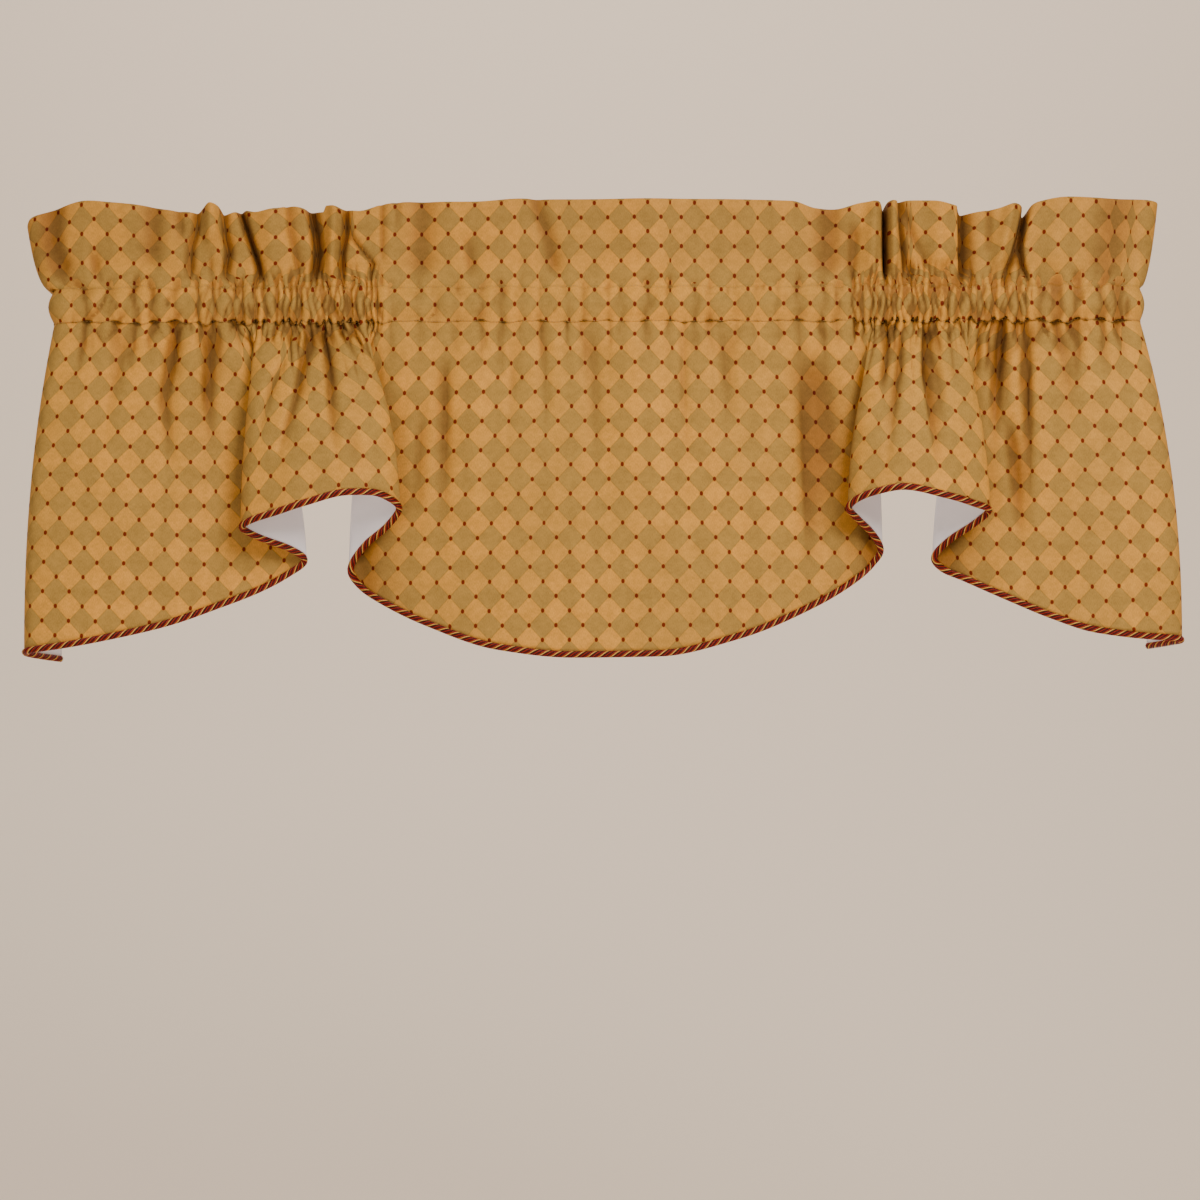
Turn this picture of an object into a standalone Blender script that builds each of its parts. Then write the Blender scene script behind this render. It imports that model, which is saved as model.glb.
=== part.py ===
"""A lined window valance on a rod pocket, with a stand-up frill above the pocket, two forward horns
and a shaped hem edged with cord. Metres, +Z up, the viewer on the -Y side.

The origin is the middle of the frill's top edge. Every sheet is worked out on a grid: one direction
runs along the width of the cloth, from the back edge of the left return to the back edge of the right
one, and the other runs down it.
"""

from collections import namedtuple

import bmesh
import bpy
import numpy as np

# Driving dimensions
RETURN_DEPTH = 0.065
ROD_LEFT = -0.5195
ROD_RIGHT = 0.5085
ROD_CORNER_RADIUS = 0.016
POCKET_TOP = -0.084
POCKET_BOTTOM = -0.116
POCKET_HALF_DEPTH = 0.0074
POCKET_WALL = 0.0011
HEADING_HALF_THICKNESS = 0.0013
FACE_THICKNESS = 0.0010
LINING_THICKNESS = 0.0010
CORD_RADIUS = 0.00325
GAP = 0.0003
CORD_GAP = 0.0011  # from the hem's cut edge, which the cord passes in straight steps
SEAM_GAP = 0.0008  # under the pocket, where the cloth's thickness leans upwards

# How the cloth hangs
GATHER_PITCH = 0.045  # flat cloth in one gather below the pocket
LEAST_FOLD_RADIUS = 0.0042
LEAST_SHARE = 0.12  # of its flat width that drawn-up cloth keeps
GATHER_START = 0.10  # share of the drop in which the gathers rise from the seam
GATHER_END = 0.75
FRONT_COLUMN_PITCH = 0.018
HORN_COLUMN_PITCH = 0.0083
ROWS = (0.0, 0.05, 0.13, 0.26, 0.46, 0.72, 1.0)
POCKET_PUCKER = 0.0026
HORN_PUCKER_PITCH = 0.0135
PANEL_PUCKER_PITCH = 0.040

# One row for each place across the drop, from the left return's back edge to the right one's. The top
# columns are at the pocket seam and the hem columns at the middle of the cord. A larger ease makes
# the cloth reach its place at the hem sooner on the way down.
Station = namedtuple("Station", "name top_x top_y hem_x hem_y hem_z ease")
DROP = [
    Station("left back edge", -0.5180, 0.0650, -0.5264, 0.0650, -0.4305, 1.3),
    Station("left return", -0.5205, 0.0360, -0.5410, 0.0340, -0.4290, 1.6),
    Station("left corner, back", -0.5200, 0.0130, -0.5490, 0.0115, -0.4272, 2.2),
    Station("left corner, front", -0.5090, 0.0015, -0.5400, -0.0040, -0.4255, 2.2),
    Station("left panel, outer", -0.4860, 0.0000, -0.5134, -0.0090, -0.4220, 2.0),
    Station("left panel, full", -0.4570, 0.0000, -0.4753, -0.0100, -0.4154, 1.7),
    Station("left panel, middle", -0.4120, 0.0000, -0.4136, -0.0030, -0.4008, 1.5),
    Station("left panel, falling back", -0.3790, 0.0000, -0.3631, 0.0080, -0.3822, 1.5),
    Station("left panel, inner", -0.3560, 0.0000, -0.3300, 0.0170, -0.3683, 1.6),
    Station("left panel, last", -0.3440, 0.0000, -0.3010, 0.0250, -0.3520, 1.7),
    Station("left horn, back fold left", -0.3385, 0.0000, -0.2840, 0.0190, -0.3394, 1.7),
    Station("left horn, inside left", -0.3345, 0.0000, -0.2955, 0.0080, -0.3306, 1.7),
    Station("left horn, inside left front", -0.3300, 0.0000, -0.3261, -0.0150, -0.3198, 1.7),
    Station("left horn, front fold left", -0.3245, 0.0000, -0.3402, -0.0275, -0.3090, 1.8),
    Station("left horn, front left", -0.3180, 0.0000, -0.3300, -0.0395, -0.3045, 1.8),
    Station("left horn, rise", -0.3040, 0.0000, -0.3034, -0.0480, -0.2979, 1.7),
    Station("left horn, crown left", -0.2880, 0.0000, -0.2777, -0.0540, -0.2911, 1.6),
    Station("left horn, crown right", -0.2620, 0.0000, -0.2370, -0.0535, -0.2818, 1.6),
    Station("left horn, fall", -0.2485, 0.0000, -0.2153, -0.0475, -0.2839, 1.7),
    Station("left horn, front right", -0.2380, 0.0000, -0.1995, -0.0390, -0.2896, 1.8),
    Station("left horn, front fold right", -0.2290, 0.0000, -0.1907, -0.0275, -0.2950, 1.8),
    Station("left horn, inside right front", -0.2240, 0.0000, -0.2021, -0.0140, -0.3095, 1.7),
    Station("left horn, inside right", -0.2190, 0.0000, -0.2280, 0.0070, -0.3290, 1.7),
    Station("left horn, back fold right", -0.2140, 0.0000, -0.2410, 0.0190, -0.3499, 1.7),
    Station("centre, first", -0.2095, 0.0000, -0.2330, 0.0265, -0.3630, 1.7),
    Station("centre, left rise", -0.2020, 0.0000, -0.2130, 0.0165, -0.3775, 1.6),
    Station("centre, left", -0.1600, 0.0000, -0.1675, 0.0050, -0.4004, 1.5),
    Station("centre, left belly", -0.0970, 0.0000, -0.0999, -0.0060, -0.4237, 1.4),
    Station("centre, belly", -0.0290, 0.0000, -0.0292, -0.0100, -0.4314, 1.4),
    Station("centre, belly right", 0.0500, 0.0000, 0.0518, -0.0100, -0.4305, 1.4),
    Station("centre, right belly", 0.1230, 0.0000, 0.1264, -0.0040, -0.4141, 1.4),
    Station("centre, right", 0.1930, 0.0000, 0.2018, 0.0060, -0.3823, 1.5),
    Station("centre, right fall", 0.2310, 0.0000, 0.2420, 0.0165, -0.3570, 1.6),
    Station("centre, last", 0.2420, 0.0000, 0.2570, 0.0265, -0.3430, 1.7),
    Station("right horn, back fold left", 0.2470, 0.0000, 0.2640, 0.0190, -0.3320, 1.7),
    Station("right horn, inside left", 0.2515, 0.0000, 0.2540, 0.0080, -0.3160, 1.7),
    Station("right horn, inside left front", 0.2560, 0.0000, 0.2385, -0.0130, -0.3045, 1.7),
    Station("right horn, front fold left", 0.2615, 0.0000, 0.2289, -0.0275, -0.2955, 1.8),
    Station("right horn, front left", 0.2680, 0.0000, 0.2365, -0.0390, -0.2885, 1.8),
    Station("right horn, rise", 0.2770, 0.0000, 0.2560, -0.0475, -0.2821, 1.7),
    Station("right horn, crown left", 0.2900, 0.0000, 0.2775, -0.0535, -0.2791, 1.6),
    Station("right horn, crown right", 0.3160, 0.0000, 0.3185, -0.0520, -0.2872, 1.6),
    Station("right horn, front right", 0.3290, 0.0000, 0.3450, -0.0410, -0.2938, 1.7),
    Station("right horn, front fold right", 0.3370, 0.0000, 0.3606, -0.0275, -0.2987, 1.6),
    Station("right horn, inside right front", 0.3425, 0.0000, 0.3483, -0.0140, -0.3097, 1.7),
    Station("right horn, inside right", 0.3475, 0.0000, 0.3261, 0.0080, -0.3245, 1.7),
    Station("right horn, back fold right", 0.3525, 0.0000, 0.3144, 0.0190, -0.3390, 1.7),
    Station("right panel, first", 0.3575, 0.0000, 0.3225, 0.0265, -0.3480, 1.7),
    Station("right panel, inner", 0.3650, 0.0000, 0.3430, 0.0160, -0.3585, 1.6),
    Station("right panel, falling back", 0.3960, 0.0000, 0.3808, 0.0060, -0.3766, 1.5),
    Station("right panel, middle", 0.4250, 0.0000, 0.4249, -0.0020, -0.3961, 1.5),
    Station("right panel, full", 0.4530, 0.0000, 0.4616, -0.0080, -0.4087, 1.6),
    Station("right panel, outer", 0.4830, 0.0000, 0.5147, -0.0075, -0.4155, 1.6),
    Station("right corner, front", 0.4985, 0.0015, 0.5390, -0.0030, -0.4170, 1.6),
    Station("right corner, back", 0.5090, 0.0130, 0.5478, 0.0120, -0.4182, 1.6),
    Station("right return", 0.5095, 0.0360, 0.5400, 0.0340, -0.4195, 1.4),
    Station("right back edge", 0.5070, 0.0650, 0.5275, 0.0650, -0.4208, 1.3),
]

# Soft folds that run down the panels. Depth is how far back the cloth goes, or forward where negative.
Crease = namedtuple("Crease", "name top_x hem_x depth half_width start end")
DROP_CREASES = [
    Crease("left panel, outer trough", -0.4500, -0.4700, 0.0035, 0.012, 0.02, 0.60),
    Crease("left panel, middle trough", -0.4130, -0.4180, 0.0040, 0.010, 0.02, 0.75),
    Crease("left panel, inner ridge", -0.3920, -0.3900, -0.0030, 0.012, 0.02, 0.70),
    Crease("left panel, inner trough", -0.3740, -0.3660, 0.0045, 0.010, 0.02, 0.85),
    Crease("centre, left trough", -0.1620, -0.1640, 0.0045, 0.014, 0.05, 0.70),
    Crease("centre, left ridge", -0.1330, -0.1300, -0.0025, 0.018, 0.10, 0.80),
    Crease("centre, trough", -0.0240, -0.0150, 0.0025, 0.016, 0.02, 0.70),
    Crease("centre, ridge", 0.0300, 0.0350, -0.0025, 0.022, 0.05, 0.90),
    Crease("centre, right trough", 0.0760, 0.0780, 0.0030, 0.014, 0.05, 0.80),
    Crease("centre, shaded trough", 0.1900, 0.1850, 0.0050, 0.022, 0.05, 0.85),
    Crease("right panel, inner trough", 0.3880, 0.3880, 0.0050, 0.009, 0.02, 0.90),
    Crease("right panel, middle ridge", 0.4030, 0.4060, -0.0035, 0.010, 0.02, 0.70),
    Crease("right panel, outer trough", 0.4250, 0.4330, 0.0035, 0.012, 0.02, 0.60),
]

# The frill's top edge, by its place along the rod's front
TopEdge = namedtuple("TopEdge", "name x z")
FRILL_TOP = [
    TopEdge("left back edge", -0.585, -0.026),
    TopEdge("left corner", -0.531, -0.022),
    TopEdge("left end, rounded", -0.517, -0.013),
    TopEdge("left rise", -0.507, -0.0065),
    TopEdge("left crest", -0.478, -0.001),
    TopEdge("left slope", -0.425, -0.008),
    TopEdge("left dip", -0.386, -0.012),
    TopEdge("roll crest", -0.369, -0.005),
    TopEdge("roll foot", -0.357, -0.013),
    TopEdge("past the roll", -0.328, -0.012),
    TopEdge("first pipe", -0.294, -0.007),
    TopEdge("first pipe foot", -0.268, -0.012),
    TopEdge("second pipe", -0.258, -0.007),
    TopEdge("third pipe foot", -0.232, -0.011),
    TopEdge("third pipe", -0.205, -0.005),
    TopEdge("centre left", -0.123, -0.003),
    TopEdge("centre crest", -0.077, 0.0),
    TopEdge("centre", 0.015, -0.001),
    TopEdge("centre right", 0.090, -0.001),
    TopEdge("right slope", 0.179, -0.003),
    TopEdge("right dip", 0.212, -0.010),
    TopEdge("before the gap", 0.255, -0.004),
    TopEdge("past the gap", 0.295, -0.003),
    TopEdge("pleat end", 0.331, -0.0075),
    TopEdge("under the pleat", 0.341, -0.0145),
    TopEdge("last pipe", 0.392, -0.007),
    TopEdge("last gap", 0.404, -0.0075),
    TopEdge("right crest", 0.448, 0.0),
    TopEdge("right corner", 0.500, -0.003),
    TopEdge("right back edge", 0.574, -0.006),
]

# Folds of the frill, by their place along the rod's front. Depth is how far back the cloth goes.
Pipe = namedtuple("Pipe", "name top_x foot_x depth half_width")
FRILL_PIPES = [
    Pipe("left trough", -0.493, -0.488, 0.0050, 0.012),
    Pipe("left ridge", -0.463, -0.460, -0.0045, 0.016),
    Pipe("left second trough", -0.424, -0.426, 0.0045, 0.010),
    Pipe("trough before the roll", -0.393, -0.388, 0.0055, 0.008),
    Pipe("roll", -0.368, -0.362, -0.0090, 0.010),
    Pipe("first deep fold", -0.339, -0.324, 0.0100, 0.007),
    Pipe("first pipe", -0.306, -0.300, -0.0065, 0.014),
    Pipe("second deep fold", -0.267, -0.275, 0.0090, 0.006),
    Pipe("second pipe", -0.253, -0.259, -0.0070, 0.008),
    Pipe("third deep fold", -0.241, -0.246, 0.0085, 0.006),
    Pipe("third pipe", -0.224, -0.226, -0.0055, 0.011),
    Pipe("crease past the pipes", -0.207, -0.209, 0.0040, 0.006),
    Pipe("centre left trough", -0.172, -0.174, 0.0030, 0.014),
    Pipe("centre trough", -0.056, -0.042, 0.0030, 0.012),
    Pipe("centre ridge", 0.040, 0.040, -0.0030, 0.030),
    Pipe("right trough", 0.214, 0.212, 0.0040, 0.014),
    Pipe("ridge before the gap", 0.250, 0.248, -0.0060, 0.010),
    Pipe("deep gap", 0.2655, 0.2640, 0.0120, 0.006),
    Pipe("ridge past the gap", 0.279, 0.276, -0.0060, 0.008),
    Pipe("sharp crease", 0.2875, 0.2965, 0.0050, 0.006),
    Pipe("wide pleat", 0.316, 0.314, -0.0060, 0.014),
    Pipe("fold under the pleat", 0.340, 0.338, 0.0085, 0.007),
    Pipe("last pipe", 0.382, 0.376, -0.0060, 0.013),
    Pipe("last deep fold", 0.401, 0.410, 0.0110, 0.007),
    Pipe("right ridge", 0.432, 0.434, -0.0045, 0.018),
    Pipe("right trough by the corner", 0.476, 0.470, 0.0035, 0.014),
]

# Where along the rod the cloth of the horns is drawn up, and how much the frill's ends lean outwards
HORNS = ((-0.345, -0.205), (0.242, 0.400))
LEFT_LEAN = 0.020
RIGHT_LEAN = 0.012
LEAN_REACH = 0.060

# Rings of the heading: sideways and upward shares of the pocket, then of the frill above it
POCKET_OUTLINE = ((0.15, 0.0), (0.66, 0.15), (1.0, 0.5), (0.66, 0.85))
FRILL_LEVELS = (0.0, 0.28, 0.60, 0.88)
FRILL_SHOULDER = 0.985  # where the frill starts to round over
BORE_OUTLINE = (
    (0.0, 0.085), (-0.62, 0.19), (-1.0, 0.5), (-0.62, 0.81),
    (0.0, 0.915), (0.62, 0.81), (1.0, 0.5), (0.62, 0.19),
)

CLOTH_COLOUR = (0.52, 0.32, 0.09, 1.0)
LINING_COLOUR = (0.80, 0.77, 0.82, 1.0)
CORD_COLOUR = (0.27, 0.03, 0.02, 1.0)


def column(rows, name):
    return np.array([getattr(row, name) for row in rows])


def through(knots, values, at):
    """A smooth curve through the values that never passes beyond two neighbours: cubic pieces, whose
    slope at a knot is the harmonic mean of the slopes beside it, or level at a turning point."""
    step = np.diff(knots)
    slope = np.diff(values) / step
    before = slope[:-1]
    after = slope[1:]
    same = before * after > 0
    mean = np.where(same, 2 * before * after / np.where(same, before + after, 1.0), 0.0)
    tangent = np.concatenate([slope[:1], mean, slope[-1:]])
    i = np.clip(np.searchsorted(knots, at) - 1, 0, len(step) - 1)
    u = (at - knots[i]) / step[i]
    rise = values[i + 1] - values[i]
    first = tangent[i] * step[i]
    last = tangent[i + 1] * step[i]
    return values[i] + u * (first + u * (3 * rise - 2 * first - last + u * (first + last - 2 * rise)))


def fade(value, start, end):
    """0 before start and 1 past end, with a soft step between."""
    u = np.clip((value - start) / (end - start), 0.0, 1.0)
    return u * u * (3 - 2 * u)


def unit(vectors):
    return vectors / np.linalg.norm(vectors, axis=-1, keepdims=True)


def in_horn(x, reach=0.02):
    """1 between a horn's edges on the rod and 0 away from them."""
    return sum(fade(x, low - reach, low) * (1 - fade(x, high, high + reach)) for low, high in HORNS)


def evenly(start, end, pitch):
    return np.linspace(start, end, max(int(round((end - start) / pitch)), 1) + 1)


def cloth_width():
    """Each station's place along the flat cloth, from the plan of the hem."""
    steps = np.hypot(np.diff(column(DROP, "hem_x")), np.diff(column(DROP, "hem_y")))
    return np.concatenate([[0.0], np.cumsum(steps)])


def drop_columns():
    """Places along the flat cloth, closer together at the corners and across the horns."""
    width = cloth_width()
    names = [row.name for row in DROP]
    marks = [0.0]
    for first, last in (
        ("left corner, back", "left panel, outer"),
        ("left panel, last", "centre, left rise"),
        ("centre, right fall", "right panel, inner"),
        ("right panel, outer", "right corner, back"),
    ):
        marks += [width[names.index(first)], width[names.index(last)]]
    marks.append(width[-1])
    columns = [np.zeros(1)]
    for i, (start, end) in enumerate(zip(marks[:-1], marks[1:])):
        pitch = HORN_COLUMN_PITCH if i % 2 else FRONT_COLUMN_PITCH
        columns.append(evenly(start, end, pitch)[1:])
    return np.concatenate(columns)


def hang(s, t):
    """The drop's middle surface at places s along the cloth and shares t of the way down, as a grid.
    Each place moves from its spot on the pocket seam to its spot on the hem. Cloth that the seam
    draws up stands in waves, whose height takes up the width to spare, down to where they open out."""
    knots = cloth_width()
    top_x, top_y, hem_x, hem_y, hem_z, ease = (
        through(knots, column(DROP, name), s)[:, None]
        for name in ("top_x", "top_y", "hem_x", "hem_y", "hem_z", "ease")
    )
    down = 1 - (1 - t[None, :]) ** ease
    x = top_x + (hem_x - top_x) * down
    y = top_y + (hem_y - top_y) * down
    seam = POCKET_BOTTOM - SEAM_GAP
    z = seam + (hem_z - seam) * t[None, :]
    for row in DROP_CREASES:
        at = row.top_x + (row.hem_x - row.top_x) * t[None, :]
        envelope = fade(t, row.start, row.start + 0.15) * (1 - fade(t, 0.6 * row.end, row.end))
        y = y + row.depth * envelope * np.exp(-(((x - at) / row.half_width) ** 2))
    along_x = np.gradient(x, s, axis=0)
    along_y = np.gradient(y, s, axis=0)
    length = np.maximum(np.hypot(along_x, along_y), LEAST_SHARE)
    pitch = GATHER_PITCH * length
    spare = np.maximum(1 / length - 1, 0.0)
    height = np.minimum(pitch / np.pi * np.sqrt(spare), pitch**2 / (4 * np.pi**2 * LEAST_FOLD_RADIUS))
    envelope = fade(t, 0.0, GATHER_START) * (1 - fade(t, GATHER_START, GATHER_END))
    phase = 2 * np.pi * s / GATHER_PITCH + 0.7 * np.sin(s / 0.031)
    wave = height * envelope * np.cos(phase)[:, None]
    x = x + wave * along_y / length
    y = y - wave * along_x / length
    return np.stack([x, y, z], axis=-1)


def drop_grid():
    """The drop's grid, cut off just above the cord, and the middle line of the cord."""
    s = drop_columns()
    grid = hang(s, np.array(ROWS))
    cord = grid[:, -1].copy()
    down = unit(grid[:, -1] - grid[:, -2])
    along = unit(np.gradient(cord, s, axis=0))
    down = unit(down - along * np.sum(down * along, axis=-1, keepdims=True))
    grid[:, -1] = cord - (CORD_RADIUS + CORD_GAP) * down
    return grid, cord


def rod_path(q):
    """Points and outward directions along the rod, where q is the distance along its front from the
    origin's plane. Past each end it turns a round corner and runs straight back to the wall."""
    radius = ROD_CORNER_RADIUS
    points = np.zeros((len(q), 2))
    outward = np.tile([0.0, -1.0], (len(q), 1))
    points[:, 0] = q
    for side, end in ((-1, ROD_LEFT + radius), (1, ROD_RIGHT - radius)):
        past = side * (q - end)
        turned = past > 0
        angle = np.clip(past / radius, 0, np.pi / 2)
        back = np.maximum(past - radius * np.pi / 2, 0.0)
        points[turned, 0] = (end + side * radius * np.sin(angle))[turned]
        points[turned, 1] = (radius * (1 - np.cos(angle)) + back)[turned]
        outward[turned, 0] = (side * np.sin(angle))[turned]
        outward[turned, 1] = -np.cos(angle)[turned]
    return points, outward


def frill_offset(q, level):
    """How far in front of the rod's plane the frill stands, and how far it leans to the side."""
    offset = np.zeros(len(q))
    for row in FRILL_PIPES:
        at = row.foot_x + (row.top_x - row.foot_x) * level
        offset -= row.depth * np.exp(-(((q - at) / row.half_width) ** 2))
    offset *= fade(level, -0.25, 0.7) * 0.9 * fade(level, 0.0, 0.2)
    left_end = ROD_LEFT + ROD_CORNER_RADIUS
    right_end = ROD_RIGHT - ROD_CORNER_RADIUS
    lean = RIGHT_LEAN * fade(q, right_end - LEAN_REACH, right_end)
    lean = lean - LEFT_LEAN * (1 - fade(q, left_end, left_end + LEAN_REACH))
    return offset, lean * level**1.2


def pucker(q):
    """How far small gathers push the pocket's walls out, tight across the horns, wide apart elsewhere."""
    tight = in_horn(q)
    fine = np.cos(2 * np.pi * q / HORN_PUCKER_PITCH)
    wide = np.cos(2 * np.pi * q / PANEL_PUCKER_PITCH + 1.3 * np.sin(q / 0.05))
    return POCKET_PUCKER * (0.5 + 0.5 * tight * fine + 0.4 * (1 - tight) * wide)


def heading_rings(q):
    """Rings round the heading: up the pocket's front and the frill's, and down its back."""
    points, outward = rod_path(q)
    crest = through(column(FRILL_TOP, "x"), column(FRILL_TOP, "z"), q)
    puckers = pucker(q)
    rings = []
    height = POCKET_TOP - POCKET_BOTTOM
    front = []
    for side, up in POCKET_OUTLINE:
        bulge = POCKET_HALF_DEPTH * side
        z = np.full(len(q), POCKET_BOTTOM + height * up)
        front.append((bulge + puckers * np.sin(np.pi * up), 0.0, 0.0, z))
    for level in FRILL_LEVELS:
        offset, lean = frill_offset(q, level)
        front.append((HEADING_HALF_THICKNESS, offset, lean, POCKET_TOP + (crest - POCKET_TOP) * level))
    offset, lean = frill_offset(q, 1.0)
    shoulder = POCKET_TOP + (crest - POCKET_TOP) * FRILL_SHOULDER
    front.append((0.7 * HEADING_HALF_THICKNESS, offset, lean, shoulder))
    back = [(-half, off, over, z) for half, off, over, z in reversed(front)]
    for half, off, over, z in front + [(0.0, offset, lean, crest)] + back:
        plan = points + outward * np.broadcast_to(half + off, len(q))[:, None]
        rings.append(np.column_stack([plan[:, 0] + over, plan[:, 1], z]))
    return np.stack(rings, axis=1)


def bore_rings(q):
    """Rings of the hollow in the pocket, which follows its puckers a wall's thickness inside them."""
    points, outward = rod_path(q)
    puckers = pucker(q)
    height = POCKET_TOP - POCKET_BOTTOM
    rings = []
    for side, up in BORE_OUTLINE:
        half = side * (POCKET_HALF_DEPTH - POCKET_WALL + puckers * np.sin(np.pi * up))
        plan = points + outward * half[:, None]
        z = np.full(len(q), POCKET_BOTTOM + height * up)
        rings.append(np.column_stack([plan, z]))
    return np.stack(rings, axis=1)


def heading_columns():
    """Places along the front of the rod, closer together across the horns."""
    left = ROD_LEFT + ROD_CORNER_RADIUS
    right = ROD_RIGHT - ROD_CORNER_RADIUS
    marks = (left, HORNS[0][0] - 0.01, HORNS[0][1] + 0.01, HORNS[1][0] - 0.01, HORNS[1][1] + 0.015, right)
    pitches = (0.0125, HORN_PUCKER_PITCH / 2, 0.018, HORN_PUCKER_PITCH / 2, 0.0125)
    spans = [evenly(a, b, pitch) for a, b, pitch in zip(marks[:-1], marks[1:], pitches)]
    return np.concatenate([spans[0]] + [span[1:] for span in spans[1:]])


def return_columns(side):
    """Places along one return, from the end of the front to its back edge."""
    end = (ROD_RIGHT - ROD_CORNER_RADIUS) if side > 0 else (ROD_LEFT + ROD_CORNER_RADIUS)
    arc = ROD_CORNER_RADIUS * np.pi / 2
    straight = RETURN_DEPTH - ROD_CORNER_RADIUS
    places = np.concatenate([evenly(GAP, arc, arc / 5), arc + evenly(0.0, straight, 0.016)[1:]])
    return np.sort(end + side * places)


def material(name, colour, roughness):
    made = bpy.data.materials.new(name)
    made.use_nodes = True
    shader = made.node_tree.nodes["Principled BSDF"]
    shader.inputs["Base Color"].default_value = colour
    shader.inputs["Roughness"].default_value = roughness
    shader.inputs["Metallic"].default_value = 0.0
    made.diffuse_color = colour
    return made


def add_object(name, mesh, collection, finish):
    made = bpy.data.objects.new(name, mesh)
    mesh.materials.append(finish)
    mesh.shade_smooth()
    collection.objects.link(made)
    return made


def sheet_mesh(name, grid):
    """An open sheet on a grid of points, whose faces look towards the face side of the cloth."""
    across, down = grid.shape[:2]
    corner = np.arange(across * down).reshape(across, down)
    faces = np.stack([corner[:-1, :-1], corner[:-1, 1:], corner[1:, 1:], corner[1:, :-1]], axis=-1)
    mesh = bpy.data.meshes.new(name)
    mesh.from_pydata(grid.reshape(-1, 3).tolist(), [], faces.reshape(-1, 4).tolist())
    mesh.update()
    return mesh


def add_sheet(name, grid, thickness, behind, collection, finish):
    """A sheet of the given thickness, in front of the grid or a gap behind it."""
    mesh = sheet_mesh(name, grid)
    if behind:
        shape = bmesh.new()
        shape.from_mesh(mesh)
        shape.normal_update()
        for vertex in shape.verts:
            vertex.co -= vertex.normal * GAP
        shape.to_mesh(mesh)
        shape.free()
    made = add_object(name, mesh, collection, finish)
    solid = made.modifiers.new("Thickness", "SOLIDIFY")
    solid.thickness = thickness
    solid.offset = -1.0 if behind else 1.0
    return made


def add_loft(name, rings, collection, finish):
    """A closed solid through rings of points. Strips between a ring's two sides close each end."""
    count, around = rings.shape[:2]
    corner = np.arange(count * around).reshape(count, around)
    beside = np.roll(corner, -1, axis=1)
    faces = np.stack([corner[:-1], beside[:-1], beside[1:], corner[1:]], axis=-1).reshape(-1, 4).tolist()
    for end in (corner[0, ::-1], corner[-1]):
        faces += [end[[i, i + 1, -2 - i, -1 - i]].tolist() for i in range(around // 2 - 1)]
        if around % 2:
            faces.append(end[around // 2 - 1:around // 2 + 2].tolist())
    mesh = bpy.data.meshes.new(name)
    mesh.from_pydata(rings.reshape(-1, 3).tolist(), [], faces)
    shape = bmesh.new()
    shape.from_mesh(mesh)
    bmesh.ops.recalc_face_normals(shape, faces=shape.faces)
    shape.to_mesh(mesh)
    shape.free()
    return add_object(name, mesh, collection, finish)


def add_heading(name, q, collection, cutters, finish):
    """One stretch of the heading, with the pocket cut through it from end to end."""
    made = add_loft(name, heading_rings(q), collection, finish)
    longer = np.concatenate([[q[0] - 0.004], q, [q[-1] + 0.004]])
    cutter = add_loft(name + "_pocket", bore_rings(longer), cutters, finish)
    cutter.hide_render = True
    cutter.display_type = "WIRE"
    cut = made.modifiers.new("Pocket", "BOOLEAN")
    cut.operation = "DIFFERENCE"
    cut.solver = "EXACT"
    cut.object = cutter
    return made


def add_cord(name, points, collection, finish):
    """A plain round cord along a line of points."""
    curve = bpy.data.curves.new(name, "CURVE")
    curve.dimensions = "3D"
    curve.bevel_depth = CORD_RADIUS
    curve.bevel_resolution = 1
    curve.use_fill_caps = True
    spline = curve.splines.new("POLY")
    spline.points.add(len(points) - 1)
    spline.points.foreach_set("co", np.column_stack([points, np.ones(len(points))]).ravel())
    made = bpy.data.objects.new(name, curve)
    curve.materials.append(finish)
    collection.objects.link(made)
    return made


def main():
    for old in list(bpy.data.objects):
        bpy.data.objects.remove(old)
    collection = bpy.data.collections.new("window_valance")
    cutters = bpy.data.collections.new("pocket_cutters")
    bpy.context.scene.collection.children.link(collection)
    bpy.context.scene.collection.children.link(cutters)

    grid, cord = drop_grid()
    face_cloth = material("drop_cloth", CLOTH_COLOUR, 0.7)
    lining_cloth = material("lining_cloth", LINING_COLOUR, 0.85)
    add_sheet("drop", grid, FACE_THICKNESS, False, collection, face_cloth)
    add_sheet("lining", grid, LINING_THICKNESS, True, collection, lining_cloth)
    add_cord("cord_trim", cord, collection, material("cord", CORD_COLOUR, 0.6))

    front = heading_columns()
    headings = (
        ("heading_front", front),
        ("heading_left_return", return_columns(-1)),
        ("heading_right_return", return_columns(1)),
    )
    for name, q in headings:
        add_heading(name, q, collection, cutters, material(name + "_cloth", CLOTH_COLOUR, 0.7))


main()
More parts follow.
